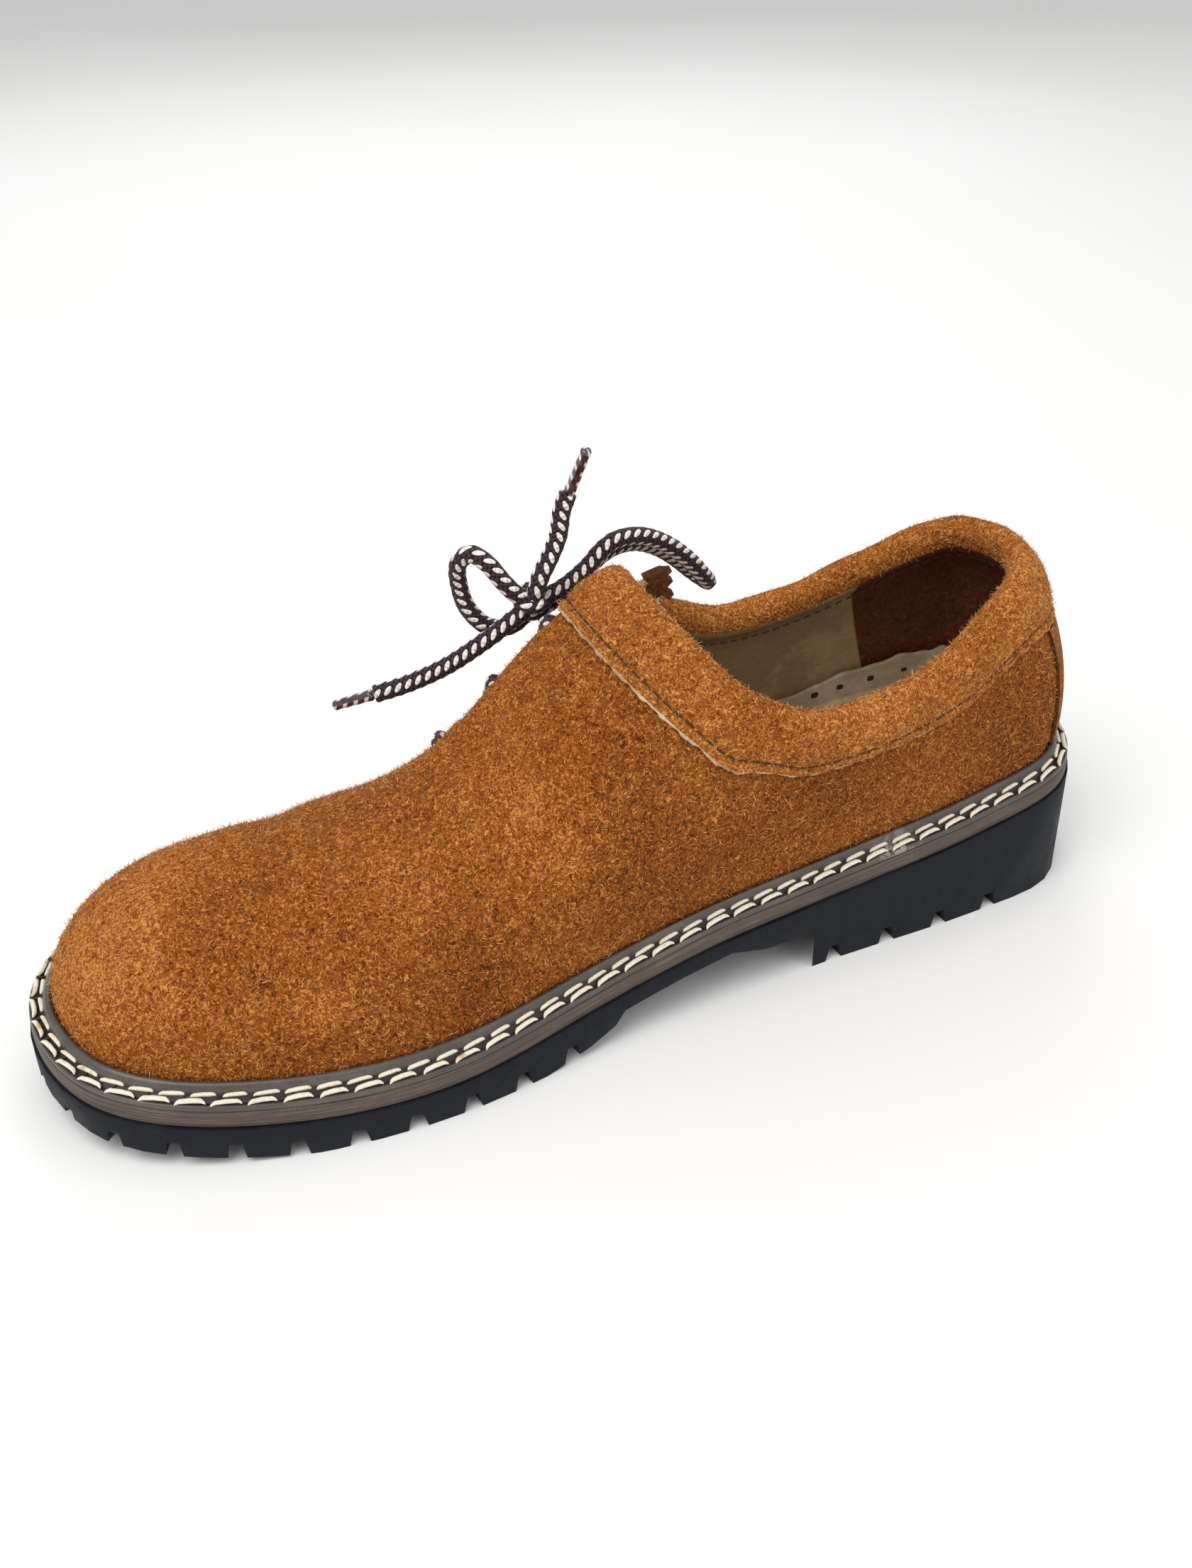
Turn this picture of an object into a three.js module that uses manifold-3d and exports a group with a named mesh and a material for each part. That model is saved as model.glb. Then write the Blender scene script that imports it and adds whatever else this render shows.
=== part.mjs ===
// A low suede slip-on lace shoe for the right foot, standing on a lugged rubber sole.
// Millimetres. +X points to the toe, +Y to the inner (medial) side of the foot, +Z up.
// The origin is on the floor, under the middle of the sole.
import * as THREE from "three";
import { mergeVertices } from "three/addons/utils/BufferGeometryUtils.js";
import Module from "manifold-3d";

const wasm = await Module();
wasm.setup();

// Driving sizes
const LENGTH = 300; // edge of the sole, heel to toe
const BALL_WIDTH = 108.6; // edge of the sole across the ball
const HEEL_HEIGHT = 35; // floor to the underside of the midsole at the heel
const INSTEP_HEIGHT = 87; // midsole to the ridge at the front of the collar
const COLLAR_HEIGHT = 97; // floor to the collar's core at the back
const WALL = 2.2; // suede with its lining
const MIDSOLE_THICKNESS = 4.6;
const WELT_REACH = 6.1; // how far the welt stands out from the upper
const WELT_HEIGHT = 5.2;
const RUBBER_EDGE = 0.8; // the outsole stands out this far past the midsole
const INSOLE_THICKNESS = 4.4;
const INSOLE_RIM = 1.6;
const INSOLE_CUP = 9; // height of the cupped rim above the insole
const LINING_GAP = 1; // from the inside of the upper to what lies against it
const CLEARANCE = 0.3;
const COLLAR_BAND = 15.5; // from the collar's core down to its raw edge
const COLLAR_PADDING = 3.2;
const COLLAR_LINING_DEPTH = 9;
const TOP_GAP = 1.3; // between the top edge of the upper and the collar over it
const BACKSTAY_WIDTH = 45;
const BACKSTAY_THICKNESS = 1.5;
const TONGUE_THICKNESS = 2;
const PINK_DEPTH = 2.6; // teeth of the tongue's pinked edge
const LACE_DIAMETER = 4.6;
const AGLET_DIAMETER = 3.2;
const KNOT_DIAMETER = 8.6;
const KNOT_LENGTH = 13;
const KNOT_GAP = 0.03;
const HOLE_DIAMETER = 5.4;
const LUG_PITCH = 14.6;
const HEEL_LUG_PITCH = 17.5;
const LUG_GROOVE_WIDTH = 3.8;
const LUG_GROOVE_DEPTH = 4.8;
const LUG_LENGTH = 13; // from the edge inward
const FIELD_GAP = 2.4; // between the edge lugs and the middle bars
const BREAST_SHARE = 0.332; // front of the heel block
const BREAST_HOLLOW = 20;
const HEEL_BEND = 60; // height over which the heel's back line is drawn
const HEEL_BULGE = 3;
const HEEL_LEAN = 14.4;

// Sole edge seen from above: widths are shares of the ball width
const OUTLINE = [
  { share: 0, medial: -0.046, lateral: -0.046 },
  { share: 0.038, medial: 0.211, lateral: -0.355 },
  { share: 0.146, medial: 0.283, lateral: -0.448 },
  { share: 0.309, medial: 0.319, lateral: -0.454 },
  { share: 0.5, medial: 0.39, lateral: -0.467 },
  { share: 0.691, medial: 0.5, lateral: -0.5 },
  { share: 0.854, medial: 0.469, lateral: -0.394 },
  { share: 0.962, medial: 0.328, lateral: -0.23 },
  { share: 1, medial: 0.038, lateral: 0.038 },
];

// Side view of the sole: heights are shares of the heel height
const EDGE = [
  { share: 0, height: 1 },
  { share: 0.15, height: 0.786 },
  { share: 0.3, height: 0.629 },
  { share: 0.42, height: 0.551 },
  { share: 0.55, height: 0.394 },
  { share: 0.7, height: 0.269 },
  { share: 0.85, height: 0.32 },
  { share: 1, height: 0.471 },
];
const UNDERSIDE = [
  { share: 0, height: 0.05 },
  { share: 0.025, height: 0 },
  { share: 0.333, height: 0 },
  { share: 0.352, height: 0.11 },
  { share: 0.37, height: 0.34 },
  { share: 0.41, height: 0.43 },
  { share: 0.46, height: 0.37 },
  { share: 0.52, height: 0.28 },
  { share: 0.53, height: 0.17 },
  { share: 0.556, height: 0.08 },
  { share: 0.6, height: 0 },
  { share: 0.8, height: 0 },
  { share: 0.85, height: 0.045 },
  { share: 0.9, height: 0.1 },
  { share: 0.96, height: 0.165 },
  { share: 1, height: 0.25 },
];

// Sections of the last. ridge: share of the instep height. axis, lean: shares of the ball width.
// wall: how far up the side stays steep. crown: how flat the top is. m: medial, l: lateral.
const LAST = [
  { share: 0, ridge: 1.08, axis: 0.046, wall_m: 0.81, wall_l: 0.6, crown_m: 0.2, crown_l: 0, lean_m: 0, lean_l: 0 },
  { share: 0.067, ridge: 1.07, axis: 0.051, wall_m: 0.81, wall_l: 0.58, crown_m: 0.53, crown_l: 0, lean_m: 0.064, lean_l: -0.033 },
  { share: 0.213, ridge: 1.09, axis: 0.037, wall_m: 0.79, wall_l: 0.61, crown_m: 0.95, crown_l: 0.08, lean_m: 0.143, lean_l: -0.037 },
  { share: 0.371, ridge: 1, axis: -0.018, wall_m: 0.62, wall_l: 0.51, crown_m: 0.93, crown_l: 0.22, lean_m: 0.143, lean_l: -0.042 },
  { share: 0.5, ridge: 0.885, axis: -0.03, wall_m: 0.6, wall_l: 0.43, crown_m: 0.86, crown_l: 0.36, lean_m: 0.101, lean_l: -0.026 },
  { share: 0.629, ridge: 0.603, axis: -0.009, wall_m: 0.58, wall_l: 0.36, crown_m: 0.62, crown_l: 0.39, lean_m: 0.05, lean_l: -0.008 },
  { share: 0.765, ridge: 0.497, axis: 0.023, wall_m: 0.66, wall_l: 0.46, crown_m: 0.58, crown_l: 0.47, lean_m: 0.044, lean_l: 0.008 },
  { share: 0.883, ridge: 0.43, axis: 0.018, wall_m: 0.69, wall_l: 0.56, crown_m: 0.59, crown_l: 0.62, lean_m: 0.038, lean_l: 0.006 },
  { share: 0.97, ridge: 0.262, axis: 0.007, wall_m: 0.69, wall_l: 0.6, crown_m: 0.6, crown_l: 0.6, lean_m: 0.023, lean_l: 0 },
  { share: 1, ridge: 0.08, axis: 0, wall_m: 0.6, wall_l: 0.6, crown_m: 0.6, crown_l: 0.6, lean_m: 0, lean_l: 0 },
];

// The collar's core line in side view: heights are shares of the collar height
const TOPLINE = [
  { share: 0, height: 1.0 },
  { share: 0.06, height: 1.002 },
  { share: 0.1, height: 0.99 },
  { share: 0.137, height: 0.945 },
  { share: 0.18, height: 0.875 },
  { share: 0.22, height: 0.828 },
  { share: 0.26, height: 0.802 },
  { share: 0.3, height: 0.792 },
  { share: 0.333, height: 0.801 },
  { share: 0.367, height: 0.845 },
  { share: 0.4, height: 0.907 },
  { share: 0.441, height: 1.041 },
  { share: 0.467, height: 1.134 },
  { share: 0.52, height: 1.33 },
];

// The lacing slit on the lateral side, seen from above: widths are shares of the ball width
const SLIT = [
  { share: 0.36, vamp: -0.13, quarter: -0.3 },
  { share: 0.43, vamp: -0.172, quarter: -0.249 },
  { share: 0.485, vamp: -0.163, quarter: -0.247 },
  { share: 0.52, vamp: -0.15, quarter: -0.245 },
  { share: 0.562, vamp: -0.16, quarter: -0.238 },
  { share: 0.6, vamp: -0.184, quarter: -0.226 },
  { share: 0.645, vamp: -0.199, quarter: -0.203 },
];
const COLLAR_START = -0.052; // collar ends, as shares of its way round from the front
const COLLAR_END = 0.897;

// The lace holes, seen from above
const HOLES = [
  { pair: "high", vamp_share: 0.512, vamp: -0.118, quarter_share: 0.5, quarter: -0.276 },
  { pair: "mid", vamp_share: 0.563, vamp: -0.128, quarter_share: 0.552, quarter: -0.26 },
  { pair: "low", vamp_share: 0.614, vamp: -0.153, quarter_share: 0.603, quarter: -0.243 },
];

// Interpolation through the rows of a table
function smooth(knots, values, at) {
  const last = knots.length - 1;
  let i = 0;
  while (i < last - 1 && at > knots[i + 1]) i += 1;
  const slope = (k) => (values[k + 1] - values[k]) / (knots[k + 1] - knots[k]);
  const tangent = (k) => {
    if (k === 0) return slope(0);
    if (k === last) return slope(last - 1);
    const before = knots[k] - knots[k - 1];
    const after = knots[k + 1] - knots[k];
    return (slope(k - 1) * after + slope(k) * before) / (before + after);
  };
  const span = knots[i + 1] - knots[i];
  const u = (at - knots[i]) / span;
  if (u < 0) return values[i] + tangent(i) * u * span;
  if (u > 1) return values[i + 1] + tangent(i + 1) * (u - 1) * span;
  const rise = values[i + 1] - values[i];
  const a = tangent(i) * span - rise;
  const b = rise - tangent(i + 1) * span;
  return values[i] + rise * u + u * (1 - u) * (a * (1 - u) + b * u);
}

const turn = (share) => Math.acos(1 - 2 * share);
const shareOf = (x) => x / LENGTH + 0.5;
const along = (share) => (share - 0.5) * LENGTH;

function column(table, name, at) {
  return smooth(table.map((row) => row.share), table.map((row) => row[name]), at);
}

function straight(table, name, at) {
  const next = Math.max(1, table.findIndex((row) => row.share >= at));
  const high = table[at > table[table.length - 1].share ? table.length - 1 : next];
  const low = table[table.indexOf(high) - 1];
  const u = (at - low.share) / (high.share - low.share);
  return low[name] + (high[name] - low[name]) * u;
}

// Sole edge as a closed curve: 0 at the heel, a half turn at the toe, medial side first
const LOOP = [
  ...OUTLINE.map((row) => ({ angle: turn(row.share), width: row.medial })),
  ...OUTLINE.slice(1, -1).reverse().map((row) => ({ angle: 2 * Math.PI - turn(row.share), width: row.lateral })),
];
const LOOP_ANGLES = [];
const LOOP_WIDTHS = [];
for (const lap of [-1, 0, 1]) {
  for (const stop of LOOP) {
    LOOP_ANGLES.push(stop.angle + lap * 2 * Math.PI);
    LOOP_WIDTHS.push(stop.width * BALL_WIDTH);
  }
}

function soleEdge(angle, inset = 0) {
  const place = (a) => new THREE.Vector2((-Math.cos(a) * LENGTH) / 2, smooth(LOOP_ANGLES, LOOP_WIDTHS, a));
  const step = 0.01;
  const way = place(angle + step).sub(place(angle - step)).normalize();
  const point = place(angle);
  return new THREE.Vector2(point.x + way.y * inset, point.y - way.x * inset);
}

const edgeHeight = (x) => HEEL_HEIGHT * column(EDGE, "height", shareOf(x));
const undersideHeight = (x) => HEEL_HEIGHT * straight(UNDERSIDE, "height", shareOf(x));
const seatHeight = (x) => edgeHeight(x) + MIDSOLE_THICKNESS + CLEARANCE;
const toplineHeight = (x) => COLLAR_HEIGHT * column(TOPLINE, "height", shareOf(x));

// Signed distance above the topline in side view
function aboveTopline(point) {
  const step = 0.5;
  const slope = (toplineHeight(point.x + step) - toplineHeight(point.x - step)) / (2 * step);
  return (point.z - toplineHeight(point.x)) / Math.hypot(1, slope);
}

// Outer surface of the upper. angle: 0 at the heel, pi at the toe. rise: 0 at the sole, 1 at the ridge.
const LAST_ANGLES = LAST.map((row) => turn(row.share));
const lastColumn = (name, angle) => smooth(LAST_ANGLES, LAST.map((row) => row[name]), angle);
const FEATHER_INSET = WELT_REACH + CLEARANCE;

function upperPoint(angle, rise, side) {
  const mark = side > 0 ? "m" : "l";
  const medial = soleEdge(angle, FEATHER_INSET);
  const lateral = soleEdge(2 * Math.PI - angle, FEATHER_INSET);
  const base = side > 0 ? medial : lateral;
  const round = Math.sin(angle);
  const ridgeX = (medial.x + lateral.x) / 2;
  const ridgeY = (medial.y + lateral.y) / 2 + lastColumn("axis", angle) * BALL_WIDTH * round;
  const height = lastColumn("ridge", angle) * INSTEP_HEIGHT;
  const lean = lastColumn(`lean_${mark}`, angle) * BALL_WIDTH * Math.sqrt(Math.max(round, 0));
  const half = Math.abs(base.y - ridgeY);
  const foot = seatHeight(base.x);
  const top = seatHeight(ridgeX) + height;
  const bend = new THREE.CubicBezierCurve3(
    new THREE.Vector3(base.x, base.y, foot),
    new THREE.Vector3(base.x, base.y + side * lean, foot + height * lastColumn(`wall_${mark}`, angle)),
    new THREE.Vector3(ridgeX, ridgeY + side * half * lastColumn(`crown_${mark}`, angle), top),
    new THREE.Vector3(ridgeX, ridgeY, top),
  );
  const point = bend.getPoint(rise);
  const up = (point.z - foot) / HEEL_BEND;
  const fade = Math.max(Math.cos(0.75 * angle), 0) ** 2;
  point.x += fade * (HEEL_LEAN * up * up - 4 * HEEL_BULGE * up * Math.max(1 - up, 0));
  return point;
}

function sideNormal(angle, rise, side) {
  const a = THREE.MathUtils.clamp(angle, 0.03, Math.PI - 0.03);
  const r = THREE.MathUtils.clamp(rise, 0.02, 0.98);
  const step = 0.01;
  const round = upperPoint(a + step, r, side).sub(upperPoint(a - step, r, side));
  const up = upperPoint(a, r + step, side).sub(upperPoint(a, r - step, side));
  return round.cross(up).multiplyScalar(-side).normalize();
}

// Both sides share one normal where they meet: along the ridge and at the ends
function upperNormal(angle, rise, side) {
  const normal = sideNormal(angle, rise, side);
  const meets = rise > 0.999 || angle < 0.001 || angle > Math.PI - 0.001;
  return meets ? normal.add(sideNormal(angle, rise, -side)).normalize() : normal;
}

const upperOffset = (angle, rise, side, offset) =>
  upperPoint(angle, rise, side).addScaledVector(upperNormal(angle, rise, side), offset);

// Closed surface through rings of points. ends: "caps", "joined" where the last ring meets
// the first one, or "seams" where the end rings are folded flat and need no cap.
function loft(rings, ends = "caps") {
  const closed = ends === "joined";
  const positions = rings.flat().flatMap((point) => [point.x, point.y, point.z]);
  const size = rings[0].length;
  const index = [];
  const bands = closed ? rings.length : rings.length - 1;
  for (let i = 0; i < bands; i += 1) {
    const a = i * size;
    const b = ((i + 1) % rings.length) * size;
    for (let j = 0; j < size; j += 1) {
      const k = (j + 1) % size;
      index.push(a + j, a + k, b + k, a + j, b + k, b + j);
    }
  }
  if (ends === "caps") {
    const end = (rings.length - 1) * size;
    const capOf = (ring) => THREE.ShapeUtils.triangulateShape(flatten(ring), []);
    for (const [a, b, c] of capOf(rings[0])) index.push(c, b, a);
    for (const [a, b, c] of capOf(rings[rings.length - 1])) index.push(end + a, end + b, end + c);
  }
  const geometry = new THREE.BufferGeometry();
  geometry.setAttribute("position", new THREE.Float32BufferAttribute(positions, 3));
  geometry.setIndex(index);
  return geometry;
}

// A ring of points as seen along its own normal
function flatten(ring) {
  const normal = new THREE.Vector3();
  ring.forEach((point, i) => {
    const next = ring[(i + 1) % ring.length];
    normal.x += (point.y - next.y) * (point.z + next.z);
    normal.y += (point.z - next.z) * (point.x + next.x);
    normal.z += (point.x - next.x) * (point.y + next.y);
  });
  const turned = new THREE.Quaternion().setFromUnitVectors(normal.normalize(), new THREE.Vector3(0, 0, 1));
  return ring.map((point) => {
    const p = point.clone().applyQuaternion(turned);
    return new THREE.Vector2(p.x, p.y);
  });
}

function toSolid(geometry) {
  const bare = new THREE.BufferGeometry();
  bare.setAttribute("position", geometry.getAttribute("position").clone());
  if (geometry.index) bare.setIndex(geometry.index.clone());
  const merged = mergeVertices(bare, 1e-3);
  const triangles = [];
  const index = merged.index.array;
  for (let i = 0; i < index.length; i += 3) {
    const [a, b, c] = [index[i], index[i + 1], index[i + 2]];
    if (a !== b && b !== c && a !== c) triangles.push(a, b, c);
  }
  const mesh = new wasm.Mesh({
    numProp: 3,
    vertProperties: new Float32Array(merged.getAttribute("position").array),
    triVerts: new Uint32Array(triangles),
  });
  return new wasm.Manifold(mesh);
}

function toGeometry(solid) {
  const mesh = solid.getMesh();
  const geometry = new THREE.BufferGeometry();
  geometry.setAttribute("position", new THREE.Float32BufferAttribute(mesh.vertProperties, 3));
  geometry.setIndex(new THREE.Uint32BufferAttribute(mesh.triVerts, 1));
  geometry.computeVertexNormals();
  return geometry;
}

// Upright prism over an outline seen from above
function upright(outline, low, high) {
  const geometry = new THREE.ExtrudeGeometry(new THREE.Shape(outline), { depth: high - low, bevelEnabled: false });
  return toSolid(geometry.translate(0, 0, low));
}

// Prism across the shoe over an outline in side view
function across(outline) {
  const depth = 2 * BALL_WIDTH;
  const geometry = new THREE.ExtrudeGeometry(new THREE.Shape(outline), { depth, bevelEnabled: false });
  return toSolid(geometry.rotateX(Math.PI / 2).translate(0, depth / 2, 0));
}

const range = (count) => Array.from({ length: count }, (_, i) => i);
const ANGLES = range(33).map((i) => (i / 32) * Math.PI);
const RISES = range(11).map((i) => (i / 10) ** 1.15);

// The last, grown or shrunk by an offset from the outer surface, with its base lowered by drop
function lastSolid(offset, drop = 0) {
  const rings = ANGLES.map((angle) => {
    const rise = (side) => RISES.map((r) => upperOffset(angle, r, side, offset));
    const medial = rise(1);
    const folded = angle === 0 || angle === Math.PI;
    const lateral = folded ? medial.map((point) => point.clone()).reverse() : rise(-1).reverse();
    medial[0].z = seatHeight(medial[0].x) - drop;
    lateral[lateral.length - 1].z = seatHeight(lateral[lateral.length - 1].x) - drop;
    return [...medial, ...lateral.slice(1)];
  });
  return toSolid(loft(rings, "seams"));
}

function flip(geometry) {
  const index = geometry.index.array;
  for (let i = 0; i < index.length; i += 3) [index[i], index[i + 1]] = [index[i + 1], index[i]];
  return geometry;
}

// Side view outline between two heights over a stretch of the length
function sideOutline(from, to, low, high, steps = 36) {
  const stops = range(steps + 1).map((i) => from + ((to - from) * i) / steps);
  return [
    ...stops.map((x) => new THREE.Vector2(x, low(x))),
    ...stops.reverse().map((x) => new THREE.Vector2(x, high(x))),
  ];
}

const BEYOND = LENGTH / 2 + 10;
const SKY = 2 * COLLAR_HEIGHT;

// Height of the line that runs a distance below the topline in side view
function lowered(x, distance) {
  const step = 0.5;
  const slope = (toplineHeight(x + step) - toplineHeight(x - step)) / (2 * step);
  return toplineHeight(x) - distance * Math.hypot(1, slope);
}

// A line round the collar, a distance below the topline. way: 0 at the front, 0.5 at the heel, medial side first.
function collarStop(way, below) {
  const bisect = (low, high, above) => {
    let [a, b] = [low, high];
    for (let i = 0; i < 26; i += 1) {
      const middle = (a + b) / 2;
      if (above(middle)) b = middle;
      else a = middle;
    }
    return (a + b) / 2;
  };
  const front = bisect(turn(0.25), turn(0.62), (angle) => aboveTopline(upperPoint(angle, 1, 1)) < -below);
  const signed = front * Math.cos(Math.PI * way);
  const wrapped = way - Math.floor(way);
  const side = wrapped <= 0.5 ? 1 : -1;
  const angle = Math.abs(signed);
  const rise = bisect(0, 1, (r) => aboveTopline(upperPoint(angle, r, side)) > -below);
  return { angle, rise, side };
}

function collarPoint(way, below, offset) {
  const stop = collarStop(way, below);
  return upperOffset(stop.angle, stop.rise, stop.side, offset);
}

// Parts
const slitOutline = [
  ...SLIT.map((row) => new THREE.Vector2(along(row.share), row.vamp * BALL_WIDTH)),
  ...[...SLIT].reverse().map((row) => new THREE.Vector2(along(row.share), row.quarter * BALL_WIDTH)),
];

function holePlace(row, part) {
  const stop = surfaceAt(along(row[`${part}_share`]), row[part] * BALL_WIDTH);
  return { point: stop.point, normal: upperNormal(stop.angle, stop.rise, -1) };
}

function holeTool(row, part) {
  const { point, normal } = holePlace(row, part);
  const geometry = new THREE.CylinderGeometry(HOLE_DIAMETER / 2, HOLE_DIAMETER / 2, 4 * WALL, 10);
  geometry.applyQuaternion(new THREE.Quaternion().setFromUnitVectors(new THREE.Vector3(0, 1, 0), normal));
  return toSolid(geometry.translate(...point.addScaledVector(normal, -WALL / 2).toArray()));
}

// The lateral surface point above a point seen from above
function surfaceAt(x, y) {
  let angle = turn(THREE.MathUtils.clamp(shareOf(x), 0.01, 0.99));
  let rise = 0.7;
  for (let i = 0; i < 24; i += 1) {
    const here = upperPoint(angle, rise, -1);
    const step = 1e-3;
    const byAngle = upperPoint(angle + step, rise, -1).sub(here).divideScalar(step);
    const byRise = upperPoint(angle, rise + step, -1).sub(here).divideScalar(step);
    const det = byAngle.x * byRise.y - byRise.x * byAngle.y;
    const missX = x - here.x;
    const missY = y - here.y;
    angle += (missX * byRise.y - byRise.x * missY) / det;
    rise += (byAngle.x * missY - missX * byAngle.y) / det;
    rise = THREE.MathUtils.clamp(rise, 0.05, 0.98);
  }
  return { angle, rise, point: upperPoint(angle, rise, -1) };
}

function makeUpper() {
  const outside = lastSolid(0);
  const cavity = lastSolid(-WALL, 6);
  let wall = outside.subtract(cavity);
  const sky = across(sideOutline(-BEYOND, along(0.56), (x) => lowered(x, 0), () => SKY, 44));
  wall = wall.subtract(sky).subtract(upright(slitOutline, 0, SKY));
  for (const row of HOLES) {
    wall = wall.subtract(holeTool(row, "vamp")).subtract(holeTool(row, "quarter"));
  }
  return toGeometry(wall);
}

// Collar section. below: down from the topline. offset: out from the upper's outer surface.
const COLLAR_SECTION = [
  { below: COLLAR_BAND, offset: 2 * CLEARANCE },
  { below: COLLAR_BAND, offset: 1.8 },
  { below: 11.5, offset: 2.3 },
  { below: 6, offset: COLLAR_PADDING },
  { below: 0, offset: COLLAR_PADDING },
  { below: -2.6, offset: 2 },
  { below: -3.7, offset: -1.1 },
  { below: -2.4, offset: -4.8 },
  { below: 2, offset: -6.6 },
  { below: 6, offset: -5.6 },
  { below: COLLAR_LINING_DEPTH, offset: -3.8 },
  { below: COLLAR_LINING_DEPTH, offset: -WALL - LINING_GAP },
  { below: -TOP_GAP, offset: -WALL - LINING_GAP },
  { below: -TOP_GAP, offset: 2 * CLEARANCE },
];

function collarSweep(section, start, end, steps) {
  const rings = range(steps + 1).map((i) => {
    const way = start + ((end - start) * i) / steps;
    return section.map((stop) => collarPoint(way, stop.below, stop.offset));
  });
  return flip(loft(rings));
}

// Welt section. reach: share of the way from the sole's edge to the upper. height: above the midsole.
const WELT_SECTION = [
  { reach: 0.03, height: 0 },
  { reach: 0.01, height: 0.9 },
  { reach: 0.2, height: 1.6 },
  { reach: 0.27, height: 1.3 },
  { reach: 0.6, height: 3.1 },
  { reach: 0.64, height: 3.7 },
  { reach: 0.72, height: WELT_HEIGHT - 0.6 },
  { reach: 0.86, height: WELT_HEIGHT },
  { reach: 1, height: WELT_HEIGHT - 0.7 },
  { reach: 1, height: 0 },
];

function makeWelt() {
  const stations = 64;
  const rings = range(stations).map((i) => {
    const angle = (i / stations) * 2 * Math.PI;
    const side = angle <= Math.PI ? 1 : -1;
    const half = side > 0 ? angle : 2 * Math.PI - angle;
    return WELT_SECTION.map(({ reach, height }) => {
      const edge = soleEdge(angle);
      const wall = upperOffset(half, riseAt(half, side, CLEARANCE, height), side, CLEARANCE);
      const x = edge.x + (wall.x - edge.x) * reach;
      const y = edge.y + (wall.y - edge.y) * reach;
      return new THREE.Vector3(x, y, seatHeight(x) + height);
    });
  });
  return loft(rings, "joined");
}

function plate(low, high, outset = 0, extra = []) {
  const angles = [...range(37).map((i) => (i / 36) * Math.PI), ...extra].sort((a, b) => a - b);
  const rings = angles.map((angle) => {
    const medial = soleEdge(angle, -outset);
    const lateral = soleEdge(2 * Math.PI - angle, -outset);
    const x = (medial.x + lateral.x) / 2;
    return [
      new THREE.Vector3(medial.x, medial.y, low(x)),
      new THREE.Vector3(lateral.x, lateral.y, low(x)),
      new THREE.Vector3(lateral.x, lateral.y, high(x)),
      new THREE.Vector3(medial.x, medial.y, high(x)),
    ];
  });
  return flip(loft(rings, "seams"));
}

// A wedge of empty space between two lugs, open to the outside
function grooveTool(angle) {
  const edge = soleEdge(angle, -RUBBER_EDGE - 2);
  const inner = soleEdge(angle, LUG_LENGTH);
  const way = inner.clone().sub(edge).normalize();
  const side = new THREE.Vector2(-way.y, way.x);
  const corner = (from, wide, z) =>
    [-1, 1].map((s) => new THREE.Vector3(from.x + side.x * s * wide, from.y + side.y * s * wide, z));
  const ceiling = (from) => undersideHeight(from.x) + LUG_GROOVE_DEPTH;
  const ring = (from) => {
    const [a, b] = corner(from, LUG_GROOVE_WIDTH * 0.75, -1);
    const [c, d] = corner(from, LUG_GROOVE_WIDTH * 0.4, ceiling(inner));
    return [a, b, d, c];
  };
  return toSolid(loft([ring(edge), ring(inner)]));
}

function arcStops(from, to, pitch) {
  const stops = [];
  let left = pitch;
  let before = soleEdge(from);
  for (let angle = from; angle < to; angle += 0.002) {
    const here = soleEdge(angle);
    left -= here.distanceTo(before);
    before = here;
    if (left <= 0) {
      stops.push(angle);
      left = pitch;
    }
  }
  return stops;
}

// Recessed field between the edge lugs, with bars across it
function fieldTool(from, to) {
  const stops = range(19).map((i) => turn(from) + ((turn(to) - turn(from)) * i) / 18);
  const inset = LUG_LENGTH + FIELD_GAP / 2;
  const rim = [
    ...stops.map((angle) => soleEdge(angle, inset)),
    ...[...stops].reverse().map((angle) => soleEdge(2 * Math.PI - angle, inset)),
  ];
  const ceiling = across(
    sideOutline(along(from) - 5, along(to) + 5, () => -2, (x) => undersideHeight(x) + LUG_GROOVE_DEPTH - 0.6),
  );
  const field = upright(rim, -2, HEEL_HEIGHT).intersect(ceiling);
  const island = [
    ...stops.map((angle) => soleEdge(angle, inset + FIELD_GAP)),
    ...[...stops].reverse().map((angle) => soleEdge(2 * Math.PI - angle, inset + FIELD_GAP)),
  ];
  let bars = upright(island, -3, HEEL_HEIGHT);
  for (let x = along(from) + LUG_PITCH / 2; x < along(to); x += LUG_PITCH) {
    const half = LUG_GROOVE_WIDTH * 0.6;
    bars = bars.subtract(
      across(sideOutline(x - half, x + half, () => -4, () => HEEL_HEIGHT, 1)),
    );
  }
  return field.subtract(bars);
}

// The front of the heel block is hollowed in an arc
function breastTool() {
  const edge = along(BREAST_SHARE);
  const lateral = -0.53 * BALL_WIDTH;
  const medial = 0.37 * BALL_WIDTH;
  const middle = (lateral + medial) / 2;
  const arc = new THREE.QuadraticBezierCurve(
    new THREE.Vector2(edge, lateral),
    new THREE.Vector2(edge - 2 * BREAST_HOLLOW, middle),
    new THREE.Vector2(edge, medial),
  );
  const front = along(BREAST_SHARE + 0.045);
  const outline = [...arc.getPoints(10), new THREE.Vector2(front, medial), new THREE.Vector2(front, lateral)];
  return upright(outline, -1, undersideHeight(front) - CLEARANCE);
}

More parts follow.
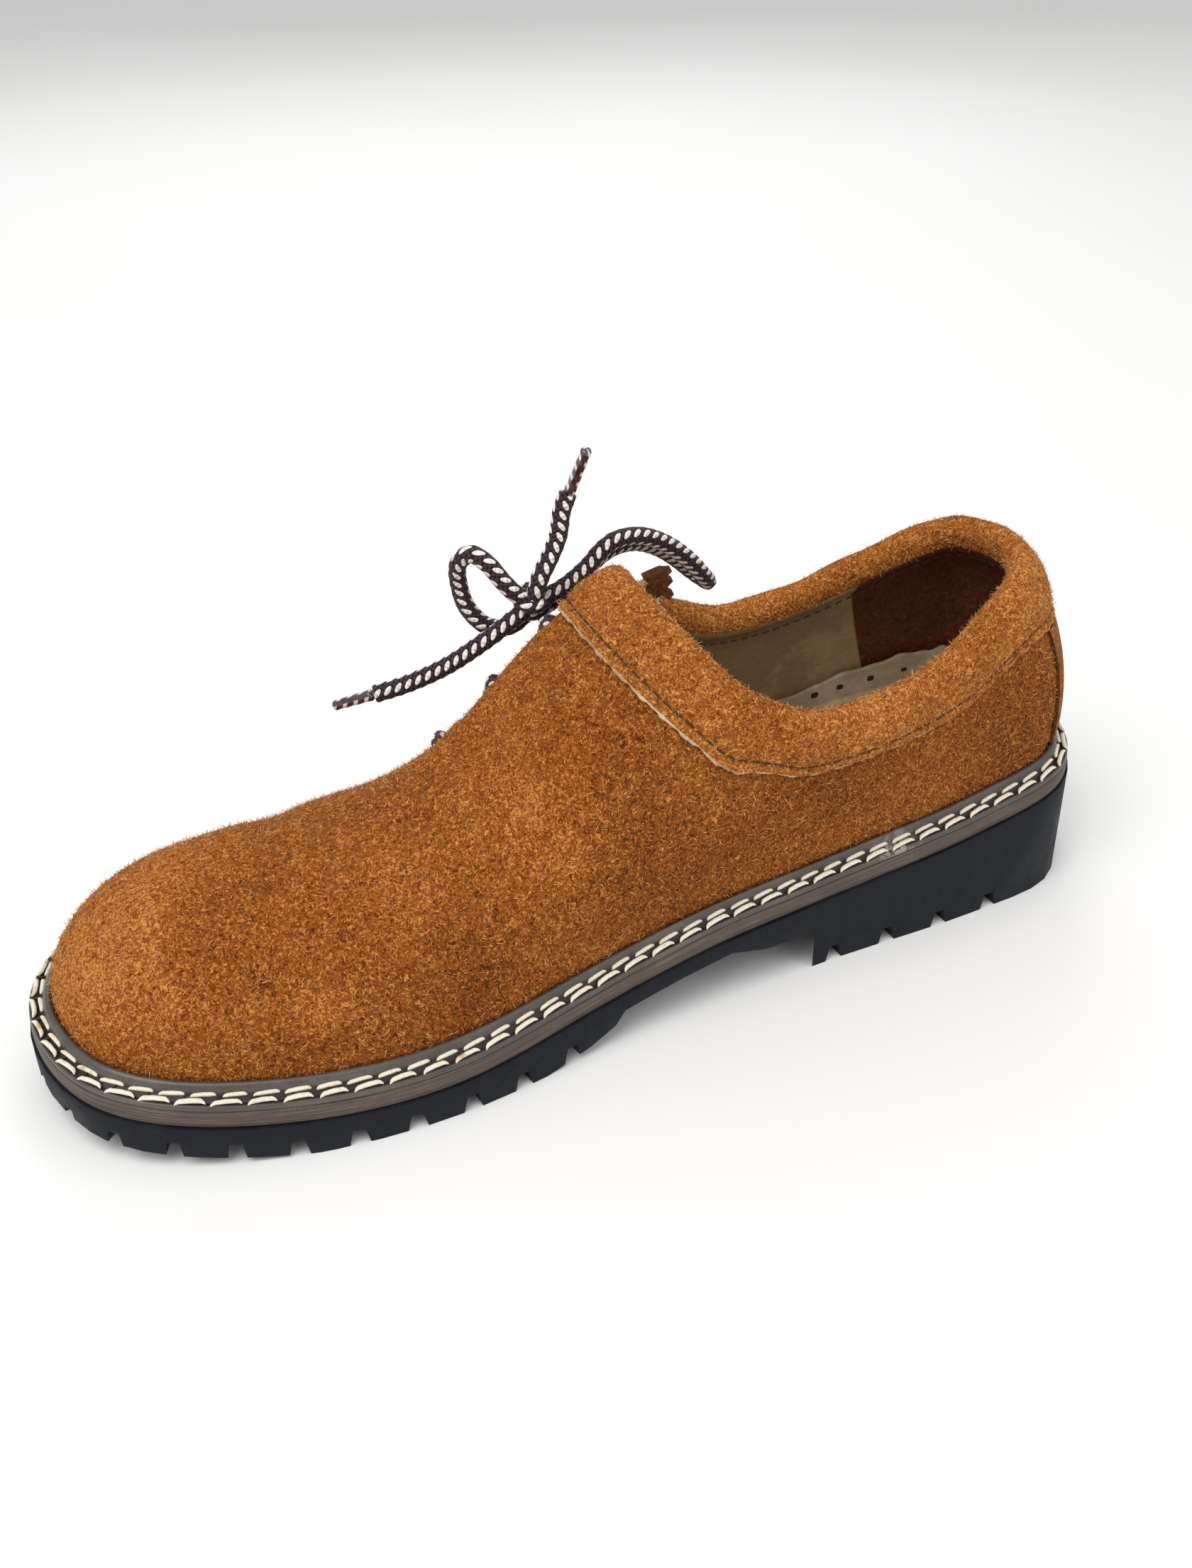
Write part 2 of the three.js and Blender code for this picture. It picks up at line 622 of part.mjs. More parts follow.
function makeOutsole() {
  const corners = UNDERSIDE.slice(1, -1).map((row) => turn(row.share));
  let sole = toSolid(plate(undersideHeight, (x) => edgeHeight(x) - CLEARANCE, RUBBER_EDGE, corners));
  const toes = arcStops(turn(0.5265), 2 * Math.PI - turn(0.55), LUG_PITCH);
  const heels = arcStops(turn(0.065), turn(0.31), HEEL_LUG_PITCH);
  for (const angle of [...toes, ...heels, ...heels.map((a) => 2 * Math.PI - a)]) {
    sole = sole.subtract(grooveTool(angle));
  }
  sole = sole.subtract(fieldTool(0.6, 0.95)).subtract(fieldTool(0.05, 0.24)).subtract(breastTool());
  return toGeometry(sole);
}

// How far up the inside of the upper a height above the seat is reached
function riseAt(angle, side, offset, height) {
  let [low, high] = [0, 1];
  for (let i = 0; i < 24; i += 1) {
    const middle = (low + high) / 2;
    const point = upperOffset(angle, middle, side, offset);
    if (point.z - seatHeight(point.x) < height) low = middle;
    else high = middle;
  }
  return (low + high) / 2;
}

function makeInsole() {
  const outer = -WALL - LINING_GAP;
  const inner = outer - INSOLE_RIM;
  const rings = ANGLES.map((angle) => {
    const back = THREE.MathUtils.clamp((Math.PI / 2 - angle) / 0.9, 0, 1);
    const cup = INSOLE_THICKNESS + 1 + INSOLE_CUP * back * back * (3 - 2 * back);
    const half = (side) => {
      const at = (offset, height) => upperOffset(angle, riseAt(angle, side, offset, height), side, offset);
      const foot = upperOffset(angle, 0, side, outer);
      foot.z = seatHeight(foot.x);
      return [foot, at(outer, INSOLE_THICKNESS), at(outer, cup), at(inner, cup), at(inner, INSOLE_THICKNESS)];
    };
    const medial = half(1);
    const folded = angle === 0 || angle === Math.PI;
    const lateral = folded ? medial.map((point) => point.clone()) : half(-1);
    return [...medial, ...lateral.reverse()];
  });
  return loft(rings, "seams");
}

function makeBackstay() {
  const cover = lastSolid(CLEARANCE + BACKSTAY_THICKNESS).subtract(lastSolid(CLEARANCE, 4));
  const middle = soleEdge(0).y;
  const half = BACKSTAY_WIDTH / 2;
  const zone = across(
    sideOutline(
      -BEYOND,
      along(0.12),
      (x) => seatHeight(x) + WELT_HEIGHT + CLEARANCE,
      (x) => lowered(x, COLLAR_BAND + CLEARANCE),
      8,
    ),
  );
  const strip = upright(
    [
      new THREE.Vector2(-BEYOND, middle - half),
      new THREE.Vector2(along(0.12), middle - half),
      new THREE.Vector2(along(0.12), middle + half),
      new THREE.Vector2(-BEYOND, middle + half),
    ],
    0,
    SKY,
  );
  return toGeometry(cover.intersect(zone).intersect(strip));
}

function makeTongue() {
  const gap = -WALL - CLEARANCE;
  const shell = lastSolid(gap).subtract(lastSolid(gap - TONGUE_THICKNESS, 4));
  const left = new THREE.Vector2(along(0.405), -0.12 * BALL_WIDTH);
  const right = new THREE.Vector2(along(0.372), -0.285 * BALL_WIDTH);
  const teeth = 5;
  const edge = range(2 * teeth + 1).map((i) => {
    const point = left.clone().lerp(right, i / (2 * teeth));
    point.x += i % 2 === 0 ? PINK_DEPTH : 0;
    return point;
  });
  const outline = [
    ...edge,
    new THREE.Vector2(along(0.44), -0.32 * BALL_WIDTH),
    new THREE.Vector2(along(0.6), -0.31 * BALL_WIDTH),
    new THREE.Vector2(along(0.665), -0.23 * BALL_WIDTH),
    new THREE.Vector2(along(0.665), -0.17 * BALL_WIDTH),
    new THREE.Vector2(along(0.6), -0.09 * BALL_WIDTH),
    new THREE.Vector2(along(0.5), -0.06 * BALL_WIDTH),
  ];
  const room = [
    { below: COLLAR_LINING_DEPTH + 2 * CLEARANCE, offset: 0 },
    { below: -6, offset: 0 },
    { below: -6, offset: -12 },
    { below: COLLAR_LINING_DEPTH + 2 * CLEARANCE, offset: -12 },
  ];
  const ends = 0.008;
  const medial = toSolid(collarSweep(room, COLLAR_START - ends, 0.06, 8));
  const lateral = toSolid(collarSweep(room, COLLAR_END - 0.16, COLLAR_END + ends, 12));
  return toGeometry(shell.intersect(upright(outline, 40, SKY)).subtract(medial).subtract(lateral));
}

// A round cord through hand-chosen points
function cord(points, diameter, sides, steps) {
  const shape = new THREE.Shape(
    range(sides).map((i) => {
      const a = (i / sides) * 2 * Math.PI;
      return new THREE.Vector2(Math.cos(a), Math.sin(a)).multiplyScalar(diameter / 2);
    }),
  );
  const path = new THREE.CatmullRomCurve3(points.map((p) => new THREE.Vector3(...p)));
  return new THREE.ExtrudeGeometry(shape, { steps, bevelEnabled: false, extrudePath: path });
}

// Way of the lace from hole to hole over the slit: it sags a little between the slit's edges
const BAR_ROUTE = [
  { share: 0, lift: 0 },
  { share: 0, lift: 0.5 },
  { share: 0.09, lift: 1.2 },
  { share: 0.24, lift: 1.25 },
  { share: 0.5, lift: 0.9 },
  { share: 0.76, lift: 1.25 },
  { share: 0.91, lift: 1.2 },
  { share: 1, lift: 0.5 },
  { share: 1, lift: 0 },
];

function makeBar(row) {
  const from = holePlace(row, "vamp").point;
  const to = holePlace(row, "quarter").point;
  const points = BAR_ROUTE.map(({ share, lift }) => {
    const stop = surfaceAt(from.x + (to.x - from.x) * share, from.y + (to.y - from.y) * share);
    const normal = upperNormal(stop.angle, stop.rise, -1);
    return stop.point.addScaledVector(normal, lift * (LACE_DIAMETER / 2 + CLEARANCE)).toArray();
  });
  return cord(points, LACE_DIAMETER, 8, 12);
}

// The bow: routes chosen by hand, in the frame of the shoe. Each one starts inside the knot.
const BOW = {
  knot: [3.35, -26.9, 94.6],
  knot_way: [-0.13, -0.62, -0.775],
  loop_front: [
    [3.6, -25.2, 96.2],
    [7.8, -25.4, 98],
    [11.1, -26.4, 101.6],
    [14.8, -29.7, 106.8],
    [18, -32.9, 108.6],
    [20.7, -35.9, 105.2],
    [20.4, -37.7, 98],
    [18.6, -37, 91],
    [14, -34.6, 85.8],
    [8.6, -31.6, 86.2],
    [3.4, -28.6, 91.8],
  ],
  loop_rear: [
    [3, -25.4, 96.2],
    [-1.6, -25.2, 97],
    [-6, -25.7, 98.6],
    [-12.3, -26.7, 102.3],
    [-16.6, -27.7, 105.7],
    [-21, -28.7, 107.5],
    [-28.5, -30.2, 106.8],
    [-36.2, -31.7, 102.9],
    [-43.9, -33, 96.3],
    [-50.3, -35.4, 88.6],
    [-53.6, -39.6, 84.2],
    [-50.2, -42.8, 86.6],
    [-44.6, -42.2, 92],
    [-38, -40.9, 97.2],
    [-30.5, -39, 100.7],
    [-22.6, -36.8, 101],
    [-15, -34.2, 98],
    [-7.5, -31.6, 93.8],
    [-1.6, -29.8, 91.6],
    [3, -28.6, 91.8],
  ],
  end_low: [
    [3.2, -26.9, 94],
    [8.4, -25.8, 91.8],
    [16.5, -25.4, 87.2],
    [27.7, -28.7, 79.4],
    [38, -31.7, 74.6],
    [46.8, -33.7, 72.2],
  ],
  tip_low: [
    [47.4, -34, 72],
    [56.9, -40, 67.4],
  ],
  end_up: [
    [3.7, -24.6, 96.9],
    [3.9, -22.6, 99.8],
    [2.4, -22.6, 104],
    [-0.6, -23.6, 108.4],
    [-3.6, -25, 113.6],
    [-4.9, -25.7, 119.6],
    [-6.6, -25.4, 124.5],
  ],
  tip_up: [
    [-6.9, -25, 125.1],
    [-9.5, -18.7, 138.5],
  ],
};

function knotSolid(grown) {
  const radius = KNOT_DIAMETER / 2 + grown;
  const half = KNOT_LENGTH / 2 + grown;
  const steps = 8;
  const profile = range(steps + 1).map((i) => {
    const a = (i / steps) * Math.PI;
    const onAxis = i === 0 || i === steps;
    return new THREE.Vector2(onAxis ? 0 : radius * Math.sin(a), -half * Math.cos(a));
  });
  const geometry = new THREE.LatheGeometry(profile, 12);
  const way = new THREE.Vector3(...BOW.knot_way).normalize();
  geometry.applyQuaternion(new THREE.Quaternion().setFromUnitVectors(new THREE.Vector3(0, 1, 0), way));
  return toSolid(geometry.translate(...BOW.knot));
}

// A cord that comes out of the knot and meets it face to face
function fromKnot(points, steps) {
  return toGeometry(toSolid(cord(points, LACE_DIAMETER, 8, steps)).subtract(knotSolid(KNOT_GAP)));
}

// Colours and finishes
const suede = new THREE.MeshStandardMaterial({ color: 0xa45a22, roughness: 0.95, metalness: 0 });
const collarSuede = new THREE.MeshStandardMaterial({ color: 0xb06528, roughness: 0.95, metalness: 0 });
const tongueSuede = new THREE.MeshStandardMaterial({ color: 0x9a5a28, roughness: 0.95, metalness: 0 });
const rubber = new THREE.MeshStandardMaterial({ color: 0x14171c, roughness: 0.6, metalness: 0 });
const band = new THREE.MeshStandardMaterial({ color: 0x6e625a, roughness: 0.6, metalness: 0 });
const weltRubber = new THREE.MeshStandardMaterial({ color: 0x3a3330, roughness: 0.45, metalness: 0 });
const liningLeather = new THREE.MeshStandardMaterial({ color: 0xa08a66, roughness: 0.7, metalness: 0 });
const laceCord = new THREE.MeshStandardMaterial({ color: 0x33242a, roughness: 0.85, metalness: 0 });
const clearTip = new THREE.MeshStandardMaterial({ color: 0x54484c, roughness: 0.2, metalness: 0 });

const shoe = new THREE.Group();
function put(name, geometry, material) {
  const mesh = new THREE.Mesh(geometry, material);
  mesh.name = name;
  shoe.add(mesh);
}

put("outsole", makeOutsole(), rubber);
put("midsole", plate(edgeHeight, (x) => edgeHeight(x) + MIDSOLE_THICKNESS), band);
put("welt", makeWelt(), weltRubber);
put("insole", makeInsole(), liningLeather);
put("upper", makeUpper(), suede);
put("collar", collarSweep(COLLAR_SECTION, COLLAR_START, COLLAR_END, 52), collarSuede);
put("backstay", makeBackstay(), suede);
put("tongue", makeTongue(), tongueSuede);
for (const row of HOLES) put(`lace_bar_${row.pair}`, makeBar(row), laceCord);
put("lace_knot", toGeometry(knotSolid(0)), laceCord);
put("lace_loop_front", fromKnot(BOW.loop_front, 12), laceCord);
put("lace_loop_rear", fromKnot(BOW.loop_rear, 19), laceCord);
put("lace_end_low", fromKnot(BOW.end_low, 6), laceCord);
put("lace_end_up", fromKnot(BOW.end_up, 6), laceCord);
put("aglet_low", cord(BOW.tip_low, AGLET_DIAMETER, 8, 1), clearTip);
put("aglet_up", cord(BOW.tip_up, AGLET_DIAMETER, 8, 1), clearTip);

export default shoe;
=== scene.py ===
"""Looks of a low suede lace shoe for the right foot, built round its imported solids.

Shape functions work in millimetres; meshes are made in metres.
+X points to the toe, +Y to the inner (medial) side, +Z up.
"""

import bmesh
import bpy
import math
import numpy as np
from mathutils import Matrix, Vector


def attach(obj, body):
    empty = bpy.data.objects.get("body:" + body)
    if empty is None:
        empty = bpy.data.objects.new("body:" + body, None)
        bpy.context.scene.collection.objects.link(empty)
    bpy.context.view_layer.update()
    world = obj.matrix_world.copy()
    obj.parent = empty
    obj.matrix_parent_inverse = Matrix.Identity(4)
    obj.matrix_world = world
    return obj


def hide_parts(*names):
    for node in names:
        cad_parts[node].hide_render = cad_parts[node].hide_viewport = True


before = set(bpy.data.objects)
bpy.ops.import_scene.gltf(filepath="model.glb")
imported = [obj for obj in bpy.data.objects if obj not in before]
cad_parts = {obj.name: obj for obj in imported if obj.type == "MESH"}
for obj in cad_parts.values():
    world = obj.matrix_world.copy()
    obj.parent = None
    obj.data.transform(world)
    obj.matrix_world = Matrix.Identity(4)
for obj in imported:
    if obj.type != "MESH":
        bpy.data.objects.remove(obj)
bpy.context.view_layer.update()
MM = 0.001


# Sizes of the shoe, as in the part's source
LENGTH = 300.0
BALL_WIDTH = 108.6
HEEL_HEIGHT = 35.0
INSTEP_HEIGHT = 87.0
COLLAR_HEIGHT = 97.0
WALL = 2.2
MIDSOLE_THICKNESS = 4.6
WELT_REACH = 6.1
WELT_HEIGHT = 5.2
INSOLE_THICKNESS = 4.4
INSOLE_RIM = 1.6
INSOLE_CUP = 9.0
LINING_GAP = 1.0
CLEARANCE = 0.3
COLLAR_BAND = 15.5
COLLAR_LINING_DEPTH = 7.5
BAND_DIP = 0.2
BACKSTAY_WIDTH = 45.0
BACKSTAY_THICKNESS = 1.5
TONGUE_THICKNESS = 2.0
PINK_DEPTH = 2.6
LACE_DIAMETER = 4.6
AGLET_DIAMETER = 3.2
KNOT_DIAMETER = 8.6
HOLE_DIAMETER = 5.4
HEEL_BEND = 60.0
HEEL_BULGE = 3.0
HEEL_LEAN = 14.4
LACE_PULL = 3.4
PULL_SHARE = 0.59
PULL_SPREAD = 0.17
PULL_LOW = 0.5
PULL_HIGH = 0.95


def table(names, *rows):
    return {name: np.array([row[i] for row in rows], float) for i, name in enumerate(names.split())}


OUTLINE = table(
    "share medial lateral",
    (0, -0.046, -0.046), (0.038, 0.211, -0.355), (0.146, 0.283, -0.448),
    (0.309, 0.319, -0.454), (0.5, 0.39, -0.467), (0.691, 0.5, -0.5),
    (0.854, 0.469, -0.394), (0.962, 0.328, -0.23), (1, 0.038, 0.038),
)
EDGE = table(
    "share height",
    (0, 1), (0.15, 0.786), (0.3, 0.629), (0.42, 0.551), (0.55, 0.394), (0.7, 0.269), (0.85, 0.32), (1, 0.471),
)
LAST = table(
    "share ridge axis wall_m wall_l crown_m crown_l lean_m lean_l",
    (0, 1.08, 0.046, 0.81, 0.6, 0.2, 0, 0, 0),
    (0.067, 1.07, 0.051, 0.81, 0.58, 0.53, 0, 0.064, -0.033),
    (0.213, 1.09, 0.037, 0.79, 0.61, 0.95, 0.08, 0.143, -0.037),
    (0.371, 1, -0.018, 0.62, 0.51, 0.93, 0.22, 0.143, -0.042),
    (0.5, 0.885, -0.03, 0.6, 0.43, 0.86, 0.36, 0.101, -0.026),
    (0.629, 0.603, -0.009, 0.58, 0.36, 0.62, 0.39, 0.05, -0.008),
    (0.765, 0.497, 0.023, 0.66, 0.46, 0.58, 0.47, 0.044, 0.008),
    (0.883, 0.43, 0.018, 0.69, 0.56, 0.59, 0.62, 0.038, 0.006),
    (0.97, 0.262, 0.007, 0.69, 0.6, 0.6, 0.6, 0.023, 0),
    (1, 0.08, 0, 0.6, 0.6, 0.6, 0.6, 0, 0),
)
TOPLINE = table(
    "share height",
    (0, 1.0), (0.06, 1.002), (0.1, 0.99), (0.137, 0.945), (0.18, 0.875), (0.22, 0.828), (0.26, 0.802),
    (0.3, 0.792), (0.333, 0.801), (0.367, 0.845), (0.4, 0.907), (0.441, 1.041), (0.467, 1.134), (0.52, 1.33),
)
SLIT = table(
    "share vamp quarter",
    (0.36, -0.13, -0.3), (0.43, -0.172, -0.249), (0.485, -0.163, -0.247), (0.52, -0.15, -0.245),
    (0.562, -0.16, -0.238), (0.6, -0.184, -0.226), (0.645, -0.199, -0.203),
)
HOLES = {
    "high": ((0.512, -0.118), (0.5, -0.276)),
    "mid": ((0.563, -0.128), (0.552, -0.26)),
    "low": ((0.614, -0.153), (0.603, -0.243)),
}
COLLAR_START, COLLAR_END = -0.052, 0.897


def smooth(knots, values, at):
    """Interpolation through the rows of a table."""
    at = np.asarray(at, float)
    last = len(knots) - 1
    i = np.clip(np.searchsorted(knots, at, "left") - 1, 0, last - 1)
    gap = np.diff(knots)
    slope = np.diff(values) / gap
    tangent = np.empty(last + 1)
    tangent[0], tangent[-1] = slope[0], slope[-1]
    tangent[1:-1] = (slope[:-1] * gap[1:] + slope[1:] * gap[:-1]) / (gap[:-1] + gap[1:])
    span = gap[i]
    u = (at - knots[i]) / span
    inner = np.clip(u, 0, 1)
    rise = values[i + 1] - values[i]
    a = tangent[i] * span - rise
    b = rise - tangent[i + 1] * span
    value = values[i] + rise * inner + inner * (1 - inner) * (a * (1 - inner) + b * inner)
    return value + tangent[i] * np.minimum(u, 0) * span + tangent[i + 1] * np.maximum(u - 1, 0) * span


def turn(share):
    return np.arccos(1 - 2 * np.asarray(share, float))


def along(share):
    return (share - 0.5) * LENGTH


def share_of(x):
    return np.asarray(x) / LENGTH + 0.5


_lap = np.concatenate([turn(OUTLINE["share"]), 2 * np.pi - turn(OUTLINE["share"][-2:0:-1])])
_width = np.concatenate([OUTLINE["medial"], OUTLINE["lateral"][-2:0:-1]]) * BALL_WIDTH
LOOP_ANGLES = np.concatenate([_lap - 2 * np.pi, _lap, _lap + 2 * np.pi])
LOOP_WIDTHS = np.tile(_width, 3)


def sole_edge(angle, inset=0.0):
    angle = np.asarray(angle, float)

    def place(a):
        return -np.cos(a) * LENGTH / 2, smooth(LOOP_ANGLES, LOOP_WIDTHS, a)

    ahead, behind, here = place(angle + 0.01), place(angle - 0.01), place(angle)
    way_x, way_y = ahead[0] - behind[0], ahead[1] - behind[1]
    size = np.hypot(way_x, way_y)
    return here[0] + way_y / size * inset, here[1] - way_x / size * inset


def edge_height(x):
    return HEEL_HEIGHT * smooth(EDGE["share"], EDGE["height"], share_of(x))


def seat_height(x):
    return edge_height(x) + MIDSOLE_THICKNESS + CLEARANCE


def topline_height(x):
    return COLLAR_HEIGHT * smooth(TOPLINE["share"], TOPLINE["height"], share_of(x))


def topline_slope(x):
    return topline_height(x + 0.5) - topline_height(x - 0.5)


def above_topline(point):
    x = point[..., 0]
    return (point[..., 2] - topline_height(x)) / np.hypot(1, topline_slope(x))


LAST_ANGLES = turn(LAST["share"])
FEATHER_INSET = WELT_REACH + CLEARANCE


def upper_point(angle, rise, side):
    """Outer surface. angle: 0 at the heel, pi at the toe. rise: 0 at the sole, 1 at the ridge."""
    angle, rise, side = (np.asarray(v, float) for v in np.broadcast_arrays(angle, rise, side))
    inner = side > 0
    medial_x, medial_y = sole_edge(angle, FEATHER_INSET)
    lateral_x, lateral_y = sole_edge(2 * np.pi - angle, FEATHER_INSET)
    base_x, base_y = np.where(inner, medial_x, lateral_x), np.where(inner, medial_y, lateral_y)

    def at(name):
        return smooth(LAST_ANGLES, LAST[name], angle)

    def either(name):
        return np.where(inner, at(name + "_m"), at(name + "_l"))

    turned = np.sin(angle)
    ridge_x = (medial_x + lateral_x) / 2
    ridge_y = (medial_y + lateral_y) / 2 + at("axis") * BALL_WIDTH * turned
    height = at("ridge") * INSTEP_HEIGHT
    lean = either("lean") * BALL_WIDTH * np.sqrt(np.maximum(turned, 0))
    half = np.abs(base_y - ridge_y)
    foot = seat_height(base_x)
    top = seat_height(ridge_x) + height
    back = 1 - rise
    weights = (back**3, 3 * back**2 * rise, 3 * back * rise**2, rise**3)
    xs = (base_x, base_x, ridge_x, ridge_x)
    ys = (base_y, base_y + side * lean, ridge_y + side * half * either("crown"), ridge_y)
    zs = (foot, foot + height * either("wall"), top, top)
    x, y, z = (sum(w * v for w, v in zip(weights, row)) for row in (xs, ys, zs))
    up = (z - foot) / HEEL_BEND
    fade = np.maximum(np.cos(0.75 * angle), 0) ** 2
    x = x + fade * (HEEL_LEAN * up * up - 4 * HEEL_BULGE * up * np.maximum(1 - up, 0))
    z = z - np.where(inner, 0.0, LACE_PULL * pull_share(angle, rise))
    return np.stack([x, y, z], -1)


def pull_share(angle, rise):
    """1 beside the lace holes, falling to 0 away from them."""
    near = np.exp(-(((angle - turn(PULL_SHARE)) / PULL_SPREAD) ** 2))
    up = np.clip((rise - PULL_LOW) / (PULL_HIGH - PULL_LOW), 0, 1)
    return near * np.sin(np.pi * up) ** 2


def unit(v):
    return v / np.maximum(np.linalg.norm(v, axis=-1, keepdims=True), 1e-12)


def side_normal(angle, rise, side):
    a, r = np.clip(angle, 0.03, np.pi - 0.03), np.clip(rise, 0.02, 0.98)
    step = 0.01
    turned = upper_point(a + step, r, side) - upper_point(a - step, r, side)
    up = upper_point(a, r + step, side) - upper_point(a, r - step, side)
    return unit(np.cross(turned, up) * -np.asarray(side, float)[..., None])


def upper_normal(angle, rise, side):
    angle, rise, side = (np.asarray(v, float) for v in np.broadcast_arrays(angle, rise, side))
    normal = side_normal(angle, rise, side)
    meets = (rise > 0.999) | (angle < 0.001) | (angle > np.pi - 0.001)
    both = unit(normal + side_normal(angle, rise, -side))
    return np.where(meets[..., None], both, normal)


def upper_offset(angle, rise, side, offset):
    offset = np.asarray(offset, float)[..., None]
    return upper_point(angle, rise, side) + upper_normal(angle, rise, side) * offset


def bisect(low, high, above):
    low, high = np.array(low, float), np.array(high, float)
    for _ in range(26):
        middle = (low + high) / 2
        over = above(middle)
        high, low = np.where(over, middle, high), np.where(over, low, middle)
    return (low + high) / 2


def collar_stop(way, below):
    way, below = (np.asarray(v, float) for v in np.broadcast_arrays(way, below))
    front = bisect(
        np.full(way.shape, turn(0.25)), np.full(way.shape, turn(0.62)),
        lambda a: above_topline(upper_point(a, 1.0, 1.0)) < -below,
    )
    side = np.where(way - np.floor(way) <= 0.5, 1.0, -1.0)
    angle = np.abs(front * np.cos(np.pi * way))
    rise = bisect(
        np.zeros(way.shape), np.ones(way.shape), lambda r: above_topline(upper_point(angle, r, side)) > -below
    )
    return angle, rise, side


def collar_point(way, below, offset):
    angle, rise, side = collar_stop(way, below)
    return upper_offset(angle, rise, side, offset)


def band_below(way, below):
    """The collar's band narrows halfway along each side of the foot."""
    dip = 1 - BAND_DIP * np.sin(2 * np.pi * np.asarray(way)) ** 4
    return np.where(np.asarray(below) > 0, below * dip, below)


def rise_at(angle, side, offset, height):
    angle, side, offset, height = (
        np.asarray(v, float) for v in np.broadcast_arrays(angle, side, offset, height)
    )

    def above(r):
        point = upper_offset(angle, r, side, offset)
        return point[..., 2] - seat_height(point[..., 0]) >= height

    return bisect(np.zeros(angle.shape), np.ones(angle.shape), above)


def surface_at(x, y):
    """The lateral surface under a point seen from above."""
    x, y = (np.asarray(v, float) for v in np.broadcast_arrays(x, y))
    angle = turn(np.clip(share_of(x), 0.01, 0.99))
    rise = np.full(x.shape, 0.7)
    step = 1e-3
    for _ in range(24):
        here = upper_point(angle, rise, -1.0)
        by_angle = (upper_point(angle + step, rise, -1.0) - here) / step
        by_rise = (upper_point(angle, rise + step, -1.0) - here) / step
        det = by_angle[..., 0] * by_rise[..., 1] - by_rise[..., 0] * by_angle[..., 1]
        miss_x, miss_y = x - here[..., 0], y - here[..., 1]
        angle = angle + (miss_x * by_rise[..., 1] - by_rise[..., 0] * miss_y) / det
        rise = np.clip(rise + (by_angle[..., 0] * miss_y - miss_x * by_angle[..., 1]) / det, 0.05, 0.98)
    return angle, rise


# Camera: the photograph's place and angle, turned to the one shoe
CAMERA_PLACE = Vector((132.0, 354.3, 298.2)) * MM
CAMERA_AIM = Vector((-0.3060, -0.7991, -0.5571))
CAMERA_RIGHT = Vector((-0.9022, 0.4298, 0.0364))
CAMERA_LENS = 38.6


def make_camera():
    data = bpy.data.cameras.new("camera")
    data.sensor_fit = "VERTICAL"
    data.sensor_height = 36.0
    data.lens = CAMERA_LENS
    data.clip_start = 0.01
    camera = bpy.data.objects.new("camera", data)
    aim = CAMERA_AIM.normalized()
    right = (CAMERA_RIGHT - aim * CAMERA_RIGHT.dot(aim)).normalized()
    up = right.cross(aim)
    turned = Matrix((right, up, -aim)).transposed().to_4x4()
    camera.matrix_world = Matrix.Translation(CAMERA_PLACE) @ turned
    bpy.context.scene.collection.objects.link(camera)
    bpy.context.scene.camera = camera


def paint(code):
    """A colour as seen on screen, such as 'a45a22', in the shader's linear light."""
    shown = [int(code[i:i + 2], 16) / 255 for i in (0, 2, 4)]
    return tuple(c / 12.92 if c <= 0.04045 else ((c + 0.055) / 1.055) ** 2.4 for c in shown) + (1.0,)


# Nodes
def add(tree, kind, values=None, **settings):
    node = tree.nodes.new(kind)
    for name, value in settings.items():
        setattr(node, name, value)
    for socket, value in (values or {}).items():
        if isinstance(value, bpy.types.NodeSocket):
            tree.links.new(value, node.inputs[socket])
        else:
            node.inputs[socket].default_value = value
    return node


def maths(tree, kind, a, b=0.0, c=0.0):
    return add(tree, "ShaderNodeMath", {0: a, 1: b, 2: c}, operation=kind).outputs[0]


def noise(tree, vector, scale, detail=2.0, roughness=0.5, distortion=0.0):
    values = {"Vector": vector, "Scale": scale, "Detail": detail, "Roughness": roughness}
    return add(tree, "ShaderNodeTexNoise", values | {"Distortion": distortion}).outputs["Fac"]


def blend(tree, share, a, b):
    node = add(tree, "ShaderNodeMix", data_type="RGBA")
    for socket, value in ((0, share), (6, a), (7, b)):
        if isinstance(value, bpy.types.NodeSocket):
            tree.links.new(value, node.inputs[socket])
        else:
            node.inputs[socket].default_value = value
    return node.outputs[2]


def window(tree, value, low, high, out_low=0.0, out_high=1.0):
    """A smooth step from low to high."""
    values = {"Value": value, "From Min": low, "From Max": high, "To Min": out_low, "To Max": out_high}
    return add(tree, "ShaderNodeMapRange", values, interpolation_type="SMOOTHSTEP").outputs["Result"]


def group(name, inputs, outputs):
    tree = bpy.data.node_groups.new(name, "ShaderNodeTree")
    for label, kind, value in inputs:
        socket = tree.interface.new_socket(label, in_out="INPUT", socket_type="NodeSocket" + kind)
        if value is not None:
            socket.default_value = value
    for label, kind in outputs:
        tree.interface.new_socket(label, in_out="OUTPUT", socket_type="NodeSocket" + kind)
    return tree, tree.nodes.new("NodeGroupInput").outputs, tree.nodes.new("NodeGroupOutput").inputs


